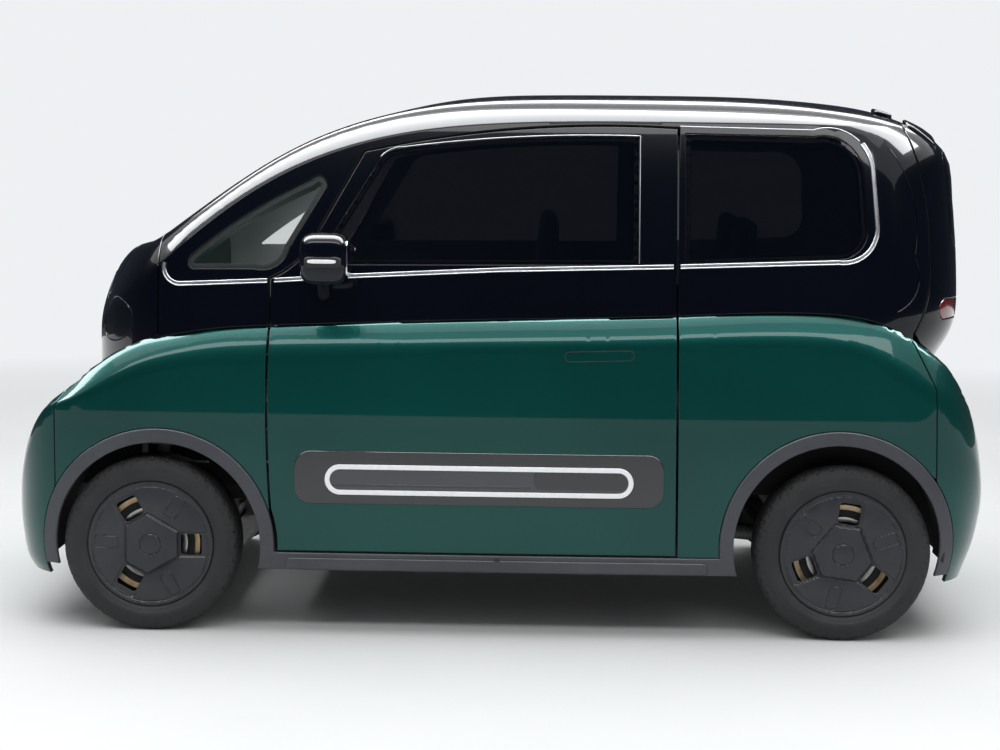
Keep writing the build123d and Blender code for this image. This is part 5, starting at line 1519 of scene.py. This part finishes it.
def soft_boxes():
    """Wide ceiling box and a long strip at each side, given by place, target, size and power."""
    for name, place, target, size, power in (
        ("ceiling", (0, 0.5, 5.2), (0, 0.5, 0), (10.0, 6.0), 260),
        ("strip_left", (0, 4.8, 4.6), (0, 0.4, 0.7), (9.0, 1.0), 140),
        ("strip_right", (0, -4.8, 4.6), (0, -0.4, 0.7), (9.0, 1.0), 120),
    ):
        lamp = bpy.data.lights.new(name, "AREA")
        lamp.shape, lamp.size, lamp.size_y, lamp.energy = "RECTANGLE", *size, power
        obj = bpy.data.objects.new(name, lamp)
        obj.location = place
        obj.rotation_euler = (Vector(target) - Vector(place)).to_track_quat("-Z", "Y").to_euler()
        bpy.context.scene.collection.objects.link(obj)


def staged(name, corners, finish):
    """Flat stage piece."""
    mesh = bpy.data.meshes.new(name)
    mesh.from_pydata(corners, [], [(0, 1, 2, 3)])
    mesh.materials.append(finish.material)
    obj = bpy.data.objects.new(name, mesh)
    bpy.context.scene.collection.objects.link(obj)
    return obj


def floor():
    """Pale ground with a fine grain that fades into the world's colour far from the car."""
    ground = Finish("floor")
    tone = ground.noise(1.4, 5.0) * 0.6 + ground.noise(160.0, 2.0) * 0.4
    colour = ground.mix(tone, (0.68, 0.69, 0.69), (0.78, 0.785, 0.785))
    ground.set({"Base Color": colour, "Roughness": tone * 0.2 + 0.6, "Specular IOR Level": 0.2})
    away = ground.node("VectorMath", {0: ground.place()}, out="Value", operation="LENGTH")
    glow = ground.node("Emission", {"Color": WORLD, "Strength": HAZE})
    blend = ground.tree.nodes.new("ShaderNodeMixShader")
    ground.join(ground.ramp(away, 2.6, 8.5), blend.inputs[0])
    ground.tree.links.new(ground.shader.outputs[0], blend.inputs[1])
    ground.tree.links.new(glow.socket, blend.inputs[2])
    ground.tree.links.new(blend.outputs[0], ground.tree.nodes["Material Output"].inputs["Surface"])
    staged("floor", [(-40, -40, 0), (40, -40, 0), (40, 40, 0), (-40, 40, 0)], ground)


def screens():
    """Dark studio screens round the car and a bright card above it, which only glossy rays see."""
    dark = Finish("screen", {"Base Color": (0.03, 0.035, 0.045), "Roughness": 1.0, "Specular IOR Level": 0.0})
    card = Finish("card", {"Base Color": (0.0, 0.0, 0.0), "Emission Color": WORLD, "Emission Strength": 18.0})
    walls = {"screen_left": ((-14, 9), (14, 9)), "screen_right": ((-14, -9), (14, -9)),
             "screen_front": ((14, -9), (14, 9)), "screen_rear": ((-14, -9), (-14, 9))}
    shown = [
        staged(name, [(*a, 0.02), (*b, 0.02), (*b, 7.0), (*a, 7.0)], dark) for name, (a, b) in walls.items()
    ]
    shown.append(staged("card", [(-7, -1.7, 5.1), (7, -1.7, 5.1), (7, 1.7, 5.1), (-7, 1.7, 5.1)], card))
    for obj in shown:
        obj.visible_camera = obj.visible_diffuse = obj.visible_shadow = obj.visible_transmission = False


def studio():
    """Studio and camera."""
    scene = bpy.context.scene
    scene.view_settings.view_transform = "Standard"
    scene.world = sky()
    soft_boxes()
    floor()
    screens()
    lens = bpy.data.cameras.new("camera")
    lens.lens, lens.sensor_width = FOCAL_LENGTH, SENSOR_WIDTH
    camera = bpy.data.objects.new("camera", lens)
    turn = Matrix(((-1, 0, 0), (0, 0, 1), (0, 1, 0)))
    for angle, axis in CAMERA_TURNS:
        turn = turn @ Matrix.Rotation(angle, 3, axis)
    camera.matrix_world = Matrix.Translation(CAMERA_PLACE) @ turn.to_4x4()
    scene.collection.objects.link(camera)
    scene.camera = camera


studio()

# Finishes of the nodes that are shown as they are
SHOWN = {
    "liner": ["wheel_liners"],
    "cast": [
        "front_suspension", "rear_suspension", "tie_rods", "tow_socket", "drive_motor",
        "knuckle_left", "knuckle_right",
    ],
    "coated": ["floor_pan", "battery_pack"],
    "pale": ["dashboard"],
    "inside": ["steering_wheel"],
}
for finish, names in SHOWN.items():
    for name in names:
        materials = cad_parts[name].data.materials
        materials.clear()
        materials.append(FINISHES[finish].material)
